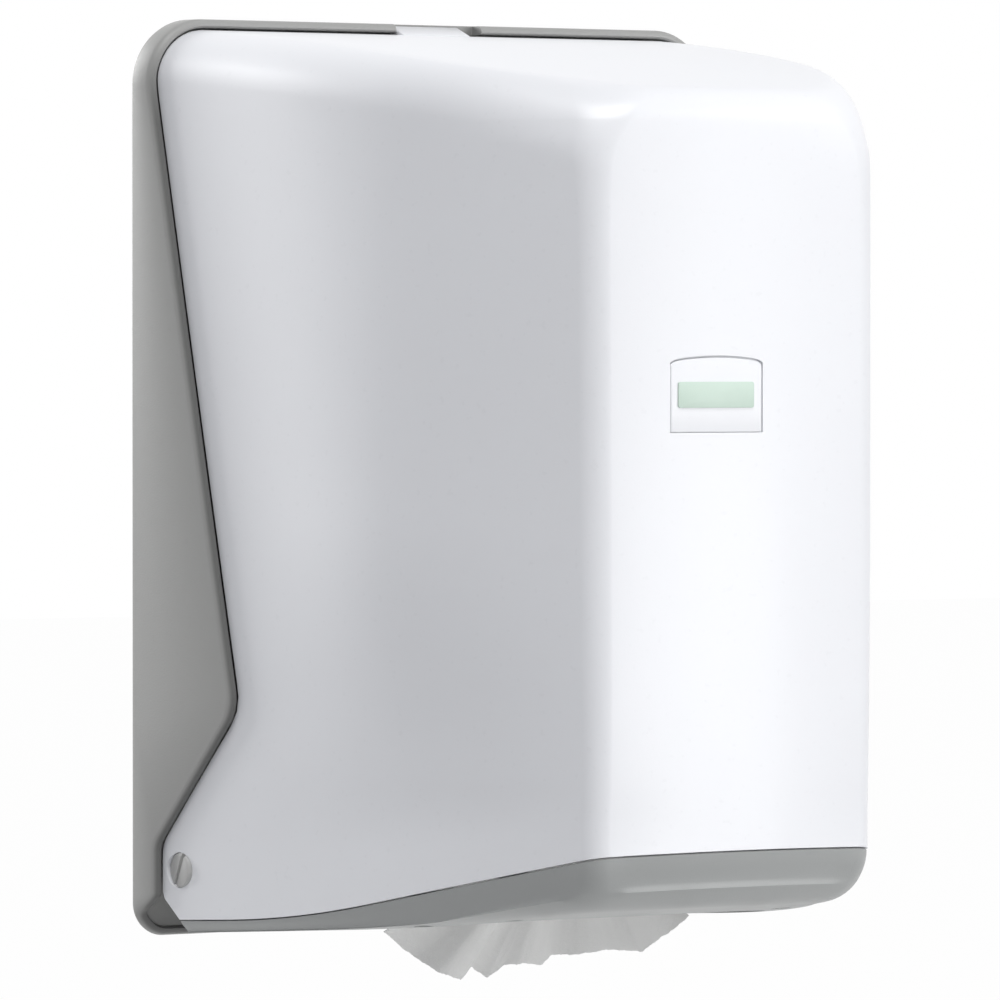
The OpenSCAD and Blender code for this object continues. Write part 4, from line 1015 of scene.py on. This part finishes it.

# The last arguments: share of the colour left where shade is painted, on the hood's tongue and along the
# casing's rim
hood_white = moulded("hood_white", linear(238, 239, 242), 0.36, 0.05, 1900, 0.05, 0.015, painted_shade=0.66)
casing_grey = moulded("casing_grey", linear(156, 156, 154), 0.46, 0.12, 1500, painted_shade=0.4)
tray_grey = moulded("tray_grey", linear(164, 166, 165), 0.4, 0.12, 1500)
pin_grey = moulded("pin_grey", linear(186, 186, 184), 0.42, 0.1, 1600)
latch_grey = moulded("latch_grey", linear(96, 98, 100), 0.45, 0.12, 1400)
shelf_grey = moulded("shelf_grey", linear(176, 178, 178), 0.45, 0.12, 1400)
nozzle_white = moulded("nozzle_white", linear(228, 228, 228), 0.4, 0.1, 1500)
zinc = plated("zinc_steel", linear(196, 198, 202), 0.3)
paper = tissue("paper_tissue", linear(240, 240, 238))
paper_wound = wound_tissue("paper_wound", linear(236, 236, 233))
mint = glossy_label("label_mint", linear(203, 222, 209))


def coated(piece, material):
    piece.data.materials.clear()
    piece.data.materials.append(material)


def dressed(piece, material, body, node):
    """Gives a piece its finish, body and slot, and lets it stand for its solid."""
    coated(piece, material)
    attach(piece, body)
    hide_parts(node)


dressed(hood, hood_white, "cover", "front_cover")
dressed(casing, casing_grey, "casing", "rear_casing")
dressed(tray, tray_grey, "cover", "base_tray")
dressed(pins[0], pin_grey, "cover", "hinge_pin_left")
dressed(pins[1], pin_grey, "cover", "hinge_pin_right")
dressed(tail, paper, "cover", "paper_tail")
dressed(roll, paper_wound, "cover", "paper_roll")
dressed(badge, hood_white, "cover", "badge_holder")
dressed(label, mint, "cover", "badge_label")
dressed(spring, zinc, "casing", "latch_spring")

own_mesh(spring)

# The solids that are shown as they are
KEPT = {"pin_clips": zinc, "latch_slider": latch_grey, "latch_guide": latch_grey,
        "latch_screws": zinc, "cover_catch": zinc, "catch_screws": zinc, "roll_shelf": shelf_grey,
        "shelf_screws": zinc, "tray_screws": zinc, "paper_nozzle": nozzle_white, "nozzle_nut": shelf_grey}
for name, material in KEPT.items():
    coated(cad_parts[name], material)

# Stage: pale floor, soft lamps and the long-lens camera, in metres

FLOOR_Z, FLOOR_SIZE, FLOOR_SHADOW = -0.32, 14, 0.015
SKY_COLOUR, SKY_LEVEL = (0.9, 0.92, 1, 1), 0.2
WHITE = (1, 1, 1, 1)

floor = added("floor", bpy.ops.mesh.primitive_grid_add, x_subdivisions=2, y_subdivisions=2, size=FLOOR_SIZE,
              location=(0, 0, FLOOR_Z))
ground = material_nodes("pale_floor")
lit = ground.node("ShaderNodeBsdfDiffuse", None, {"Color": (0.7, 0.7, 0.7, 1)})
white = ground.node("ShaderNodeEmission", None, {"Color": WHITE, "Strength": 1.0})
ground.ended(ground.node("ShaderNodeMixShader", None, [ground.seen() * (1 - FLOOR_SHADOW), lit, white]))
coated(floor, ground.holder)

studio = Finish(bpy.data.worlds.new("studio"), "ShaderNodeOutputWorld")
dim = studio.node("ShaderNodeBackground", None, {"Color": SKY_COLOUR, "Strength": SKY_LEVEL})
bright = studio.node("ShaderNodeBackground", None, {"Color": WHITE, "Strength": 1.0})
studio.ended(studio.node("ShaderNodeMixShader", None, [studio.seen(), dim, bright]))
bpy.context.scene.world = studio.holder


def staged(name, data, place, look):
    """A lamp or a camera at a place, facing along look."""
    thing = bpy.data.objects.new(name, data)
    bpy.context.collection.objects.link(thing)
    thing.location = place
    thing.rotation_euler = look.to_track_quat("-Z", "Y").to_euler()
    return thing


def lamp(name, place, aim, size, power):
    data = bpy.data.lights.new(name, "AREA")
    data.shape, data.size, data.size_y = "RECTANGLE", size[0], size[1]
    data.energy = power
    staged(name, data, place, Vector(aim) - Vector(place))


lamp("front_lamp", (1.45, -1.9, 0.85), (0, -0.12, 0), (1.8, 1.3), 19.9)
lamp("left_fill", (-0.8, 1.6, 0.6), (-0.1, -0.08, 0), (0.9, 1.0), 27)
lamp("top_lamp", (-0.5, -0.95, 1.95), (0, -0.1, 0.1), (1.2, 0.9), 29)
lamp("low_fill", (1.2, -2.2, -0.2), (0, -0.1, -0.1), (0.8, 0.4), 13.5)

EYE = (-1.7032, -2.5778, 0.0495)
EYE_X, EYE_Y, EYE_TILT = 0.559, 0.829, math.atan(160 / 8400)  # level direction of the view, and its fall

camera = bpy.data.cameras.new("camera")
camera.sensor_width, camera.lens, camera.clip_end = 36, 302.4, 50
level = math.cos(EYE_TILT)
look = Vector((EYE_X * level, EYE_Y * level, -math.sin(EYE_TILT)))
bpy.context.scene.camera = staged("camera", camera, EYE, look)
bpy.context.scene.view_settings.view_transform = "Standard"
